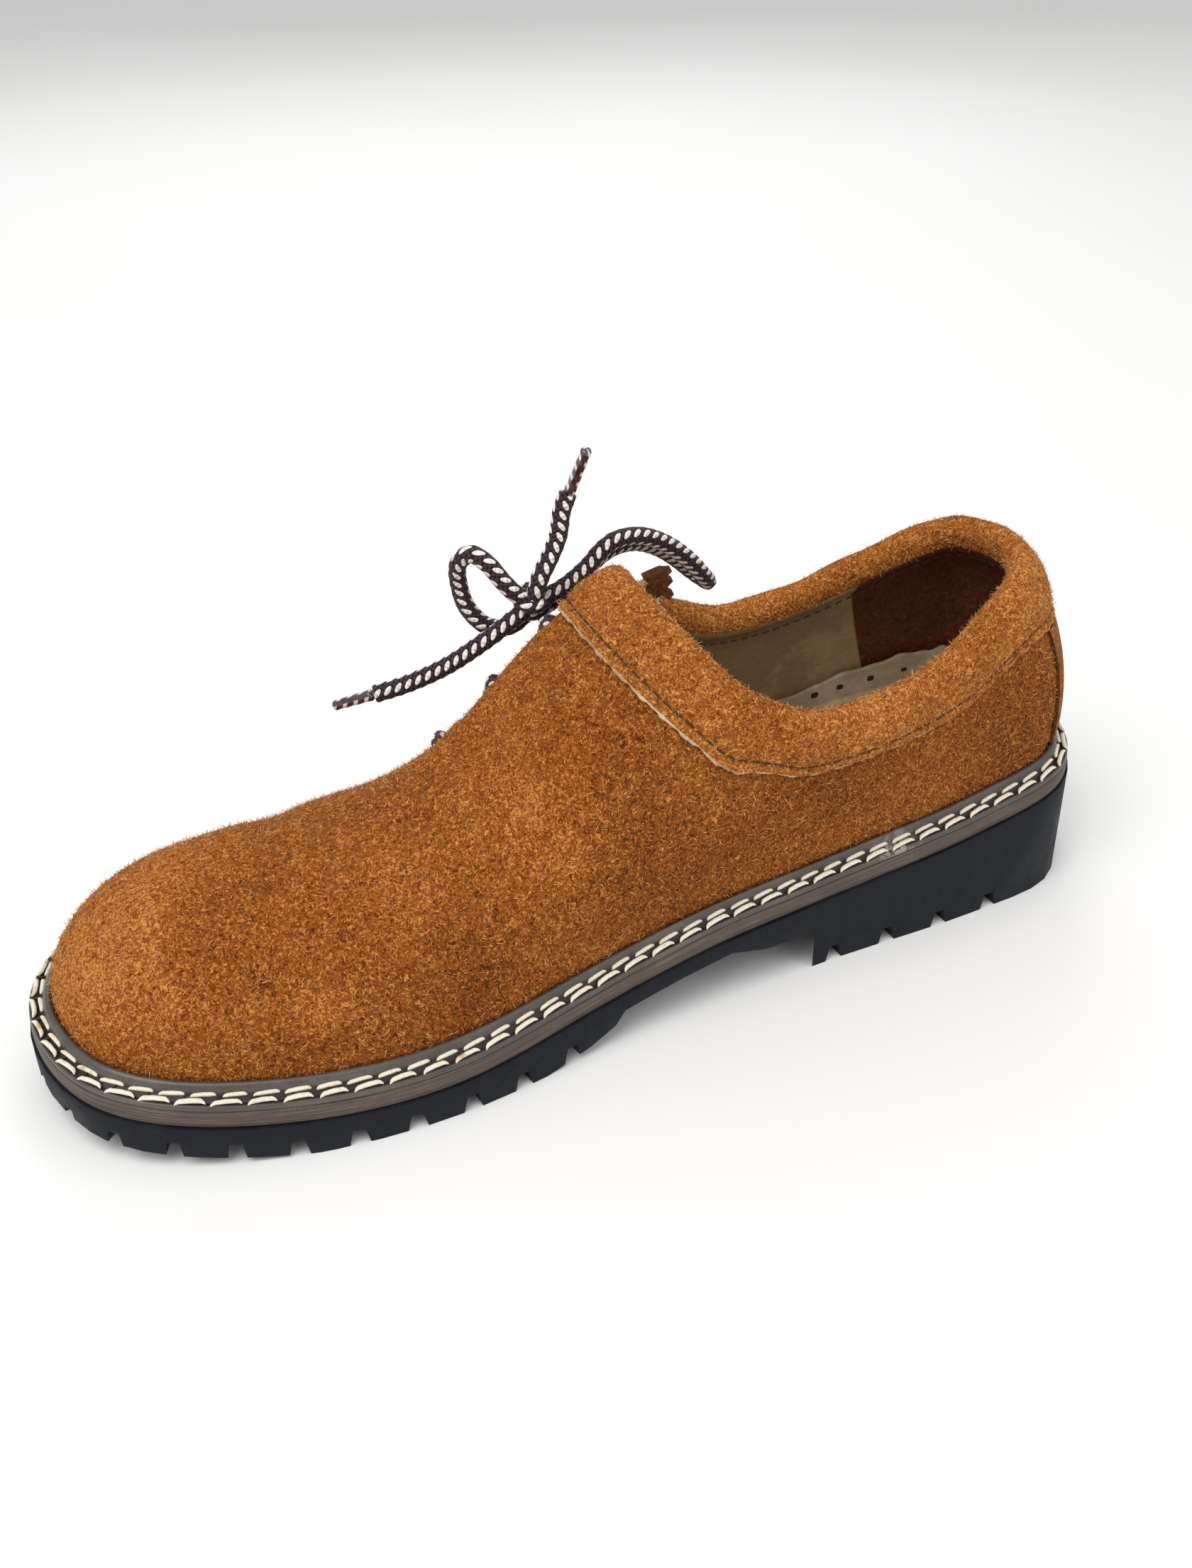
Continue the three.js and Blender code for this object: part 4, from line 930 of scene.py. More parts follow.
def make_backstay():
    middle = float(sole_edge(0.0)[1])
    half = BACKSTAY_WIDTH / 2
    spread = np.linspace(-1, 1, 61)[:, None]
    up = np.linspace(0, 1, 31)[None, :]
    side = np.where(spread > 0, 1.0, -1.0) + 0 * up
    angle = 0.5 * np.abs(spread) + 0 * up
    rise = 0.3 + 0 * angle
    outer = CLEARANCE + BACKSTAY_THICKNESS
    for _ in range(4):
        low = rise_at(angle, side, outer, WELT_HEIGHT + CLEARANCE)
        high = bisect(low, np.ones(low.shape),
                      lambda r: above_topline(upper_point(angle, r, side)) > -(COLLAR_BAND + CLEARANCE + 0.3))
        rise = low + (high - low) * up
        wide = half * np.abs(spread) + 0 * up
        angle = bisect(np.zeros(rise.shape), np.full(rise.shape, turn(0.12)),
                       lambda a: np.abs(upper_point(a, rise, side)[..., 1] - middle) > wide)
    skin = np.minimum(1 - np.abs(spread) ** 14, 1 - (1 - up) ** 18) * np.minimum(1, 1 - up**30 + 0.6)
    thickness = BACKSTAY_THICKNESS * (0.55 + 0.45 * np.clip(skin, 0, 1))
    outside = upper_offset(angle, rise, side, CLEARANCE + thickness)
    inside = upper_offset(angle, rise, side, CLEARANCE)
    return slab("backstay_suede", outside, inside, [SUEDE_BACKSTAY, RAW_BROWN], rim=1, sharp=45)


# The tongue's outline seen from above, heel end first: shares of the length and of the ball width
TONGUE_SIDES = table(
    "left_share left right_share right",
    (0.405, -0.12, 0.372, -0.285), (0.45, -0.085, 0.44, -0.32), (0.5, -0.06, 0.5, -0.318),
    (0.6, -0.09, 0.6, -0.31), (0.665, -0.17, 0.665, -0.23),
)
TEETH = 5


def make_tongue():
    knots = np.linspace(0, 1, 5)
    t = np.linspace(0, 1, 110)[:, None]
    s = np.linspace(0, 1, 81)[None, :]
    left_x, left_y, right_x, right_y = (
        np.interp(t, knots, TONGUE_SIDES[name]) for name in ("left_share", "left", "right_share", "right")
    )
    saw = 1 - np.abs(((s * TEETH) % 1) * 2 - 1)
    x = along(left_x + (right_x - left_x) * s) + PINK_DEPTH * (1 - saw) * np.clip(1 - t / 0.05, 0, 1)
    y = (left_y + (right_y - left_y) * s) * BALL_WIDTH
    angle, rise = surface_at(x, y)
    gap = -WALL - CLEARANCE
    outside = upper_offset(angle, rise, -1.0, gap - 0.1)
    inside = upper_offset(angle, rise, -1.0, gap - TONGUE_THICKNESS)
    made = slab("tongue_suede", outside, inside, [SUEDE_TONGUE_SHADED, RAW_BROWN], rim=1)
    floor = COLLAR_LINING_DEPTH + 2 * CLEARANCE
    room = ((floor, 0.0), (-6.4, 0.0), (-6.4, -12.8), (floor, -12.8))
    ends = (("room_front", COLLAR_START - 0.008, 0.06), ("room_back", COLLAR_END - 0.16, COLLAR_END + 0.008))
    for name, start, end in ends:
        way = np.linspace(start, end, 24)
        corners = [collar_point(way, band_below(way, below), offset) for below, offset in room]
        rings = np.stack(corners, axis=1)
        subtract(made, closed_sweep(name, rings, [RAW_CREAM]))
    made.data.set_sharp_from_angle(angle=math.radians(45))
    return made


def make_insole():
    angles = np.linspace(0, np.pi, 181)
    outer = -WALL - LINING_GAP
    inner = outer - INSOLE_RIM
    back = np.clip((np.pi / 2 - angles) / 0.9, 0, 1)
    wavy = 0.5 * np.sin(angles * 31) * back + 0.3 * np.sin(angles * 67 + 1) * back
    cup = INSOLE_THICKNESS + 1 + INSOLE_CUP * back * back * (3 - 2 * back) + wavy
    halves = []
    for side in (1.0, -1.0):
        def at(offset, height):
            return upper_offset(angles, rise_at(angles, side, offset, height), side, offset)
        foot = upper_offset(angles, 0.0, side, outer)
        foot[:, 2] = seat_height(foot[:, 0])
        stops = [foot, at(outer, INSOLE_THICKNESS), at(outer, cup - 0.5), at(outer - 0.35, cup),
                 at(inner + 0.35, cup), at(inner, cup - 0.5), at(inner, INSOLE_THICKNESS + 0.9),
                 at(inner - 0.5, INSOLE_THICKNESS + 0.25), at(inner - 1.4, INSOLE_THICKNESS)]
        halves.append(np.stack(stops, axis=1))
    medial, lateral = halves
    lateral[0], lateral[-1] = medial[0], medial[-1]
    rings = np.concatenate([medial, lateral[:, ::-1]], axis=1)
    return closed_sweep("insole_leather", rings, [INSOLE], ends="seams", sharp=60)


WELT_SECTION = table(
    "reach height",
    (0.03, 0), (0.005, 0.5), (0.015, 1.0), (0.07, 1.45), (0.14, 1.62), (0.21, 1.55), (0.26, 1.3), (0.31, 1.4),
    (0.4, 1.9), (0.5, 2.5), (0.58, 2.95), (0.61, 3.3), (0.64, 3.9), (0.7, 4.6), (0.78, 5.05), (0.86, 5.2),
    (0.94, 5.0), (1, 4.5), (1, 0),
)


def welt_point(angle, reach, height):
    angle, reach, height = (np.asarray(v, float) for v in np.broadcast_arrays(angle, reach, height))
    wrapped = np.mod(angle, 2 * np.pi)
    side = np.where(wrapped <= np.pi, 1.0, -1.0)
    half = np.where(side > 0, wrapped, 2 * np.pi - wrapped)
    edge_x, edge_y = sole_edge(wrapped)
    rise = rise_at(half, side, CLEARANCE, height)
    wall = upper_offset(half, rise, side, CLEARANCE)
    x = edge_x + (wall[..., 0] - edge_x) * reach
    y = edge_y + (wall[..., 1] - edge_y) * reach
    return np.stack([x, y, seat_height(x) + height], -1)


def round_stops(count):
    return np.linspace(0, 2 * np.pi, count, endpoint=False)


def lap_lengths(angle):
    x, y = sole_edge(angle)
    return np.concatenate([[0], np.cumsum(np.hypot(np.diff(x), np.diff(y)))])


def band_uv(angles, stops):
    """UV of a band round the sole: metres round, then the stops across."""
    round_way, across_way = np.meshgrid(lap_lengths(angles) * MM, np.asarray(stops), indexing="ij")
    return np.stack([round_way, across_way], -1).reshape(-1, 2)


def make_welt():
    angles = round_stops(480)
    reach, height = WELT_SECTION["reach"], WELT_SECTION["height"]
    rings = welt_point(angles[:, None], reach[None, :], height[None, :])
    uv = band_uv(angles, reach)
    return closed_sweep("welt_rubber", rings, [WELT_RUBBER], ends="joined", uv=uv, sharp=70)


MIDSOLE_SECTION = table(
    "outset height",
    (-30, 0), (-0.1, 0), (0.05, 0.25), (0.15, 1.2), (0.2, 2.3), (0.1, 3.6), (-0.15, 4.4), (-0.45, 4.6),
    (-30, 4.6),
)


def make_midsole():
    angles = round_stops(480)
    ring = []
    for outset, height in zip(MIDSOLE_SECTION["outset"], MIDSOLE_SECTION["height"]):
        x, y = sole_edge(angles, -max(outset, -1.0))
        if outset < -1:
            x, y = x * 0.9, y * 0.55
        edge_x, _ = sole_edge(angles)
        ring.append(np.stack([x, y, edge_height(x if outset < -1 else edge_x) + height], -1))
    rings = np.stack(ring, axis=1)
    count, size = rings.shape[:2]
    faces = grid_faces(count, size, wrap_rows=True)
    faces += [[i * size for i in range(count)], [i * size + size - 1 for i in range(count)]]
    return build("midsole_rubber", rings.reshape(-1, 3), faces, [MIDSOLE_RUBBER],
                 uv=band_uv(angles, MIDSOLE_SECTION["height"] * MM), sharp=60)


def make_outsole():
    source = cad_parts["outsole"]
    mesh = source.data.copy()
    made = bpy.data.objects.new("outsole_rubber", mesh)
    bpy.context.scene.collection.objects.link(made)
    mesh.transform(source.matrix_world)
    mesh.materials.clear()
    mesh.materials.append(OUTSOLE_RUBBER)
    work = bmesh.new()
    work.from_mesh(mesh)
    bmesh.ops.remove_doubles(work, verts=work.verts, dist=1e-5)
    work.to_mesh(mesh)
    work.free()
    edge = made.modifiers.new("rounding", "BEVEL")
    edge.width = 0.0004
    edge.segments = 2
    edge.limit_method = "ANGLE"
    edge.angle_limit = math.radians(35)
    finished(made)
    made.data.shade_smooth()
    made.data.set_sharp_from_angle(angle=math.radians(30))
    return made


# Cords
def centripetal(points, step):
    """Points along a smooth line through the given ones, evenly spaced."""
    points = np.asarray(points, float)
    ends = np.concatenate([[2 * points[0] - points[1]], points, [2 * points[-1] - points[-2]]])
    line = []
    for a, b, c, d in zip(ends, ends[1:], ends[2:], ends[3:]):
        ab, bc, cd = (math.sqrt(np.linalg.norm(q - p)) for p, q in ((a, b), (b, c), (c, d)))
        out = ((b - a) / ab - (c - a) / (ab + bc) + (c - b) / bc) * bc
        into = ((c - b) / bc - (d - b) / (bc + cd) + (d - c) / cd) * bc
        t = np.linspace(0, 1, 24, endpoint=False)[:, None]
        line.append((2 * t**3 - 3 * t**2 + 1) * b + (t**3 - 2 * t**2 + t) * out
                    + (3 * t**2 - 2 * t**3) * c + (t**3 - t**2) * into)
    line = np.concatenate(line + [points[-1:]])
    way = np.concatenate([[0], np.cumsum(np.linalg.norm(np.diff(line, axis=0), axis=1))])
    stops = np.linspace(0, way[-1], max(int(round(way[-1] / step)), 2) + 1)
    return np.stack([np.interp(stops, way, line[:, i]) for i in range(3)], -1)


def make_tube(name, path, diameter, made, sides=20, plait=0.0, taper=None):
    way = unit(np.gradient(path, axis=0))
    side = unit(np.cross(way[0], (0.3, 0.2, 1.0)))
    frames = []
    for direction in way:
        side = unit(side - direction * (side @ direction))
        frames.append((side, np.cross(direction, side)))
    length = np.concatenate([[0], np.cumsum(np.linalg.norm(np.diff(path, axis=0), axis=1))])
    spin = np.linspace(0, 1, sides, endpoint=False)
    rings = []
    for i, (a, b) in enumerate(frames):
        radius = np.full(sides, diameter / 2)
        if plait:
            radius = radius * (1 + plait + plait * np.cos(2 * np.pi * LACE_COLUMNS * spin)
                               * np.cos(2 * np.pi * length[i] / LACE_FLECK_PITCH))
        if taper is not None:
            radius = radius * taper[i]
        turned = 2 * np.pi * spin
        rings.append(path[i] + radius[:, None] * (np.cos(turned)[:, None] * a + np.sin(turned)[:, None] * b))
    rings = np.stack(rings)
    count = len(rings)
    points = np.concatenate([rings.reshape(-1, 3), path[:1], path[-1:]])
    faces = grid_faces(count, sides, wrap_columns=True)
    for k in range(sides):
        faces.append([count * sides, (k + 1) % sides, k])
        faces.append([count * sides + 1, (count - 1) * sides + k, (count - 1) * sides + (k + 1) % sides])
    mesh = bpy.data.meshes.new(name)
    mesh.from_pydata((points * MM).tolist(), [], faces)
    mesh.materials.append(made)
    layer = mesh.uv_layers.new(name="UVMap")
    corners = np.empty(len(mesh.loops), int)
    mesh.loops.foreach_get("vertex_index", corners)
    column, row = corners % sides, np.minimum(corners // sides, count - 1)
    starts = np.empty(len(mesh.polygons), int)
    mesh.polygons.foreach_get("loop_start", starts)
    totals = np.empty(len(mesh.polygons), int)
    mesh.polygons.foreach_get("loop_total", totals)
    u = column / sides
    owner = np.repeat(np.arange(len(totals)), totals)
    top = np.zeros(len(totals))
    np.maximum.at(top, owner, u)
    u = np.where((top[owner] > 0.75) & (u < 0.25), u + 1, u)
    layer.data.foreach_set("uv", np.stack([u, length[row] * MM], -1).ravel())
    work = bmesh.new()
    work.from_mesh(mesh)
    bmesh.ops.recalc_face_normals(work, faces=work.faces)
    work.to_mesh(mesh)
    work.free()
    mesh.shade_smooth()
    piece = bpy.data.objects.new(name, mesh)
    bpy.context.scene.collection.objects.link(piece)
    return piece


KNOT = (3.35, -26.9, 94.6)
KNOT_WAY = (-0.13, -0.62, -0.775)
LOOP_FRONT = (
    (3.6, -25.2, 96.2), (7.8, -25.4, 98), (11.1, -26.4, 101.6), (14.8, -29.7, 106.8), (18, -32.9, 108.6),
    (20.7, -35.9, 105.2), (20.4, -37.7, 98), (18.6, -37, 91), (14, -34.6, 85.8), (8.6, -31.6, 86.2),
    (3.4, -28.6, 91.8),
)
LOOP_REAR = (
    (3, -25.4, 96.2), (-1.6, -25.2, 97), (-6, -25.7, 98.6), (-12.3, -26.7, 102.3), (-16.6, -27.7, 105.7),
    (-21, -28.7, 107.5), (-28.5, -30.2, 106.8), (-36.2, -31.7, 102.9), (-43.9, -33, 96.3),
    (-50.3, -35.4, 88.6),
    (-53.6, -39.6, 84.2), (-50.2, -42.8, 86.6), (-44.6, -42.2, 92), (-38, -40.9, 97.2), (-30.5, -39, 100.7),
    (-22.6, -36.8, 101), (-15, -34.2, 98), (-7.5, -31.6, 93.8), (-1.6, -29.8, 91.6), (3, -28.6, 91.8),
)
END_LOW = (
    (3.2, -26.9, 94), (8.4, -25.8, 91.8), (16.5, -25.4, 87.2), (27.7, -28.7, 79.4), (38, -31.7, 74.6),
    (46.8, -33.7, 72.2),
)
TIP_LOW = ((47.4, -34, 72), (56.9, -40, 67.4))
END_UP = (
    (3.7, -24.6, 96.9), (3.9, -22.6, 99.8), (2.4, -22.6, 104), (-0.6, -23.6, 108.4), (-3.6, -25, 113.6),
    (-4.9, -25.7, 119.6), (-6.6, -25.4, 124.5),
)
TIP_UP = ((-6.9, -25, 125.1), (-9.5, -18.7, 138.5))
BAR_ROUTE = table(
    "share lift",
    (0, 0), (0, 0.5), (0.09, 1.12), (0.24, 1.18), (0.5, 1.05), (0.76, 1.25), (0.91, 1.2), (1, 0.5), (1, 0),
)
PLAIT = 0.045
# How deep the bars are pressed into the soft suede, and how far apart the points of a cord's line are
BAR_SINK = 2.8
CORD_STEP = 0.45


def finish_piece(obj, slot, *nodes):
    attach(obj, "root")
    if nodes:
        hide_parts(*nodes)
    return obj


def make_aglet(name, tip):
    path = centripetal(tip, 0.5)
    share = np.linspace(0, 1, len(path))
    taper = 1.0 - 0.12 * share + 0.04 * np.sin(share * 21)
    taper[0] *= 0.9
    taper[-1] *= 0.8
    return make_tube(name, path, AGLET_DIAMETER, AGLET_FILM, sides=16, taper=taper)


def make_lace():
    for name, ((vamp_share, vamp), (quarter_share, quarter)) in HOLES.items():
        x0, y0 = along(vamp_share), vamp * BALL_WIDTH
        x1, y1 = along(quarter_share), quarter * BALL_WIDTH
        share = BAR_ROUTE["share"]
        angle, rise = surface_at(x0 + (x1 - x0) * share, y0 + (y1 - y0) * share)
        lift = BAR_ROUTE["lift"] * (LACE_DIAMETER / 2 + CLEARANCE) - BAR_SINK
        route = upper_point(angle, rise, -1.0) + upper_normal(angle, rise, -1.0) * lift[:, None]
        path = centripetal(route, CORD_STEP)
        bar = make_tube(f"lace_braid_{name}", path, LACE_DIAMETER, LACE_BRAID, plait=PLAIT)
        finish_piece(bar, "lace_braid", f"lace_bar_{name}")
    knot = make_knot()
    finish_piece(knot, "lace_braid", "lace_knot")
    tips = {}
    for name, tip in (("low", TIP_LOW), ("up", TIP_UP)):
        tips[name] = finish_piece(make_aglet(f"aglet_film_{name}", tip), "aglet_film", f"aglet_{name}")
    cords = (
        ("lace_braid_loop_front", LOOP_FRONT, "knot", "lace_loop_front", [knot]),
        ("lace_braid_loop_rear", LOOP_REAR, "knot", "lace_loop_rear", []),
        ("lace_braid_end_low", END_LOW, "fitting", "lace_end_low", [tips["low"]]),
        ("lace_braid_end_up", END_UP, "fitting", "lace_end_up", [tips["up"]]),
    )
    for name, route, far_end, node, going in cords:
        path = centripetal(route, CORD_STEP)
        cord = finish_piece(make_tube(name, path, LACE_DIAMETER, LACE_BRAID, plait=PLAIT), "lace_braid", node)


def make_knot():
    """Two tight turns of the braid round the crossing."""
    way = unit(np.array(KNOT_WAY))
    a = unit(np.cross(way, (0.0, 0.0, 1.0)))
    b = np.cross(way, a)
    cord = 4.2
    radius = (KNOT_DIAMETER - cord) / 2 + 0.7
    turns = 2.1
    t = np.linspace(0, 1, 90)
    spin = 2 * np.pi * turns * t + 0.6
    rise = (t - 0.5) * cord * turns
    circle = radius * (np.cos(spin)[:, None] * a + np.sin(spin)[:, None] * b)
    path = np.array(KNOT) + circle + rise[:, None] * way
    return make_tube("lace_braid_knot", path, cord, LACE_BRAID, plait=PLAIT)


# Stitches
def make_stitch_tree():
    """One thread stitch on each point, turned to its way and face, bowed to one side."""
    tree = bpy.data.node_groups.new("stitch_row", "GeometryNodeTree")
    face = tree.interface
    face.new_socket("Points", in_out="INPUT", socket_type="NodeSocketGeometry")
    sizes = (("Length", 0.006), ("Width", 0.0016), ("Height", 0.001), ("Bow", 0.0), ("Unevenness", 0.1))
    for name, value in sizes:
        face.new_socket(name, in_out="INPUT", socket_type="NodeSocketFloat").default_value = value
    face.new_socket("Thread", in_out="INPUT", socket_type="NodeSocketMaterial")
    face.new_socket("Seed", in_out="INPUT", socket_type="NodeSocketInt")
    face.new_socket("Stitches", in_out="OUTPUT", socket_type="NodeSocketGeometry")
    given = tree.nodes.new("NodeGroupInput").outputs
    ball = add(tree, "GeometryNodeMeshUVSphere", {"Segments": 8, "Rings": 8, "Radius": 0.5})
    lying = (0.0, math.pi / 2, 0.0)
    lie = add(tree, "GeometryNodeTransform", {"Geometry": ball.outputs[0], "Rotation": lying})
    place = add(tree, "GeometryNodeInputPosition").outputs[0]
    parts = add(tree, "ShaderNodeSeparateXYZ", {"Vector": place}).outputs
    square = maths(tree, "MULTIPLY", parts["X"], parts["X"])
    arch = maths(tree, "SUBTRACT", 0.25, square)
    bow = maths(tree, "MULTIPLY", arch, maths(tree, "MULTIPLY", given["Bow"], 4.0))
    doubled = maths(tree, "MULTIPLY", maths(tree, "ABSOLUTE", parts["X"]), 2.0)
    blunt = maths(tree, "MULTIPLY", maths(tree, "POWER", doubled, 0.4), 0.5)
    full = maths(tree, "MULTIPLY", maths(tree, "SIGN", parts["X"]), blunt)
    shaped = add(tree, "ShaderNodeCombineXYZ", {
        "X": maths(tree, "MULTIPLY", full, given["Length"]),
        "Y": maths(tree, "MULTIPLY_ADD", parts["Y"], given["Width"], bow),
        "Z": maths(tree, "MULTIPLY", parts["Z"], given["Height"]),
    })
    bent = add(tree, "GeometryNodeSetPosition", {"Geometry": lie.outputs[0], "Position": shaped.outputs[0]})
    face_to, aim_to = (
        add(tree, "GeometryNodeInputNamedAttribute", {"Name": name}, data_type="FLOAT_VECTOR").outputs[0]
        for name in ("facing", "aim")
    )
    stand = add(tree, "FunctionNodeAlignRotationToVector", {"Vector": face_to}, axis="Z")
    turned = add(tree, "FunctionNodeAlignRotationToVector", {"Rotation": stand.outputs[0], "Vector": aim_to},
                 axis="X", pivot_axis="Z")
    spread = add(tree, "FunctionNodeRandomValue", {"Seed": given["Seed"]}, data_type="FLOAT_VECTOR")
    low = maths(tree, "SUBTRACT", 1.0, given["Unevenness"])
    high = maths(tree, "ADD", 1.0, given["Unevenness"])
    for socket, value in ((0, low), (1, high)):
        tree.links.new(value, spread.inputs[socket])
    rows = add(tree, "GeometryNodeInstanceOnPoints", {
        "Points": given["Points"], "Instance": bent.outputs[0], "Rotation": turned.outputs[0],
        "Scale": spread.outputs[0],
    })
    real = add(tree, "GeometryNodeRealizeInstances", {"Geometry": rows.outputs[0]})
    smoothed = add(tree, "GeometryNodeSetShadeSmooth", {"Geometry": real.outputs[0]})
    dressed = {"Geometry": smoothed.outputs[0], "Material": given["Thread"]}
    threaded = add(tree, "GeometryNodeSetMaterial", dressed)
    out = tree.nodes.new("NodeGroupOutput")
    tree.links.new(threaded.outputs[0], out.inputs["Stitches"])
    return tree


STITCH_TREE = make_stitch_tree()


def grown(obj, tree, finish, **values):
    """The object with a node tree's result in its place; values are the tree's inputs by name."""
    grower = obj.modifiers.new("grower", "NODES")
    grower.node_group = tree
    sockets = {s.name: s.identifier for s in tree.interface.items_tree if s.in_out == "INPUT"}
    for label, value in values.items():
        grower[sockets[label]] = value
    finished(obj)
    if not obj.data.materials:
        obj.data.materials.append(finish)
    return obj


def stitch_row(name, points, aims, facings, thread, **sizes):
    """A sewn row: a stitch at each point, in millimetres."""
    mesh = bpy.data.meshes.new(name)
    mesh.from_pydata((points * MM).tolist(), [], [])
    for label, vectors in (("aim", aims), ("facing", facings)):
        layer = mesh.attributes.new(label, "FLOAT_VECTOR", "POINT")
        layer.data.foreach_set("vector", np.asarray(vectors, float).ravel())
    row = bpy.data.objects.new(name, mesh)
    bpy.context.scene.collection.objects.link(row)
    return grown(row, STITCH_TREE, thread, Thread=thread, **sizes)


def even_stops(line, pitch):
    """Places along a line of points, a pitch apart: fractional indices."""
    way = np.concatenate([[0], np.cumsum(np.linalg.norm(np.diff(line, axis=0), axis=1))])
    count = int(way[-1] / pitch)
    return np.interp((np.arange(count) + 0.5) * way[-1] / count, way, np.arange(len(line)))


def sample(rows, at):
    return np.stack([np.interp(at, np.arange(len(rows)), rows[:, i]) for i in range(rows.shape[1])], -1)


def row_frames(line, partner, at):
    """Points, ways and facings of a row; partner is the same line moved across the surface."""
    ways = unit(np.gradient(line, axis=0))
    sides = unit(partner - line)
    facings = unit(np.cross(ways, sides))
    return sample(line, at), sample(ways, at), sample(facings, at)


# Rows sewn through the welt: share across, height, pitch, stitch length, width, bow
WELT_ROWS = (
    ("welt_stitches_outer", 0.12, 1.75, 8.4, 7.2, 1.25, -0.9),
    ("welt_stitches_inner", 0.5, 2.65, 7.4, 6.1, 1.2, -0.35),
)
WELT_LINK_PITCH = 8.4


def make_welt_stitches():
    """The two pale rows, and the dark threads that slant between them."""
    angles = np.linspace(0, 2 * np.pi, 1600)
    for name, reach, height, pitch, length, width, bow in WELT_ROWS:
        line = welt_point(angles, reach, height)
        partner = welt_point(angles, reach + 0.1, height + 0.45)
        points, aims, facings = row_frames(line, partner, even_stops(line, pitch))
        facings = np.where(facings[:, 2:] < 0, -facings, facings)
        aims = unit(aims + 0.08 * np.cross(facings, aims))
        row = stitch_row(name, points, aims, facings, CREAM_THREAD, Length=length * MM, Width=width * MM,
                         Height=1.3 * MM, Bow=bow * MM, Unevenness=0.06, Seed=3)
        finish_piece(row, "welt_rubber")
    line = welt_point(angles, 0.31, 2.0)
    partner = welt_point(angles, 0.41, 2.45)
    points, aims, facings = row_frames(line, partner, even_stops(line, WELT_LINK_PITCH))
    facings = np.where(facings[:, 2:] < 0, -facings, facings)
    across_way = unit(np.cross(facings, aims))
    aims = unit(aims + across_way * 1.2)
    row = stitch_row("welt_link_threads", points, aims, facings, DARK_THREAD, Length=4.2 * MM, Width=0.5 * MM,
                     Height=0.5 * MM, Bow=0.3 * MM, Unevenness=0.15, Seed=5)
    finish_piece(row, "welt_rubber")


COLLAR_STITCH_DEPTH = 12.5
COLLAR_STITCH_PITCH = 3.6
LINING_STITCH_DEPTH = 5.9
LINING_STITCH_PITCH = 3.4


def make_collar_stitches():
    """The dark stitch row in the groove above the collar's lower edge."""
    way = np.linspace(COLLAR_START + 0.006, COLLAR_END - 0.004, 900)
    line = collar_point(way, band_below(way, COLLAR_STITCH_DEPTH), 1.75)
    partner = collar_point(way, band_below(way, COLLAR_STITCH_DEPTH - 2), 2.3)
    stops = even_stops(line, COLLAR_STITCH_PITCH)
    points, aims, facings = row_frames(line, partner, stops)
    angle, rise, side = collar_stop(np.interp(stops, np.arange(len(way)), way), 12.0)
    outward = upper_normal(angle, rise, side)
    facings = np.where((facings * outward).sum(-1, keepdims=True) < 0, -facings, facings)
    row = stitch_row("collar_stitches", points, aims, facings, DARK_THREAD, Length=2.7 * MM, Width=0.6 * MM,
                     Height=0.6 * MM, Bow=0.0, Unevenness=0.12, Seed=7)
    finish_piece(row, "collar_suede")


def make_lining_stitches():
    """The dark stitch row on the inside of the collar."""
    way = np.linspace(COLLAR_START + 0.02, COLLAR_END - 0.02, 900)
    line = collar_point(way, LINING_STITCH_DEPTH, -4.95)
    partner = collar_point(way, LINING_STITCH_DEPTH - 1, -5.2)
    points, aims, facings = row_frames(line, partner, even_stops(line, LINING_STITCH_PITCH))
    row = stitch_row("lining_stitches", points, aims, facings, DARK_THREAD, Length=2.3 * MM, Width=0.6 * MM,
                     Height=0.6 * MM, Bow=0.0, Unevenness=0.12, Seed=21)
    finish_piece(row, "collar_suede")


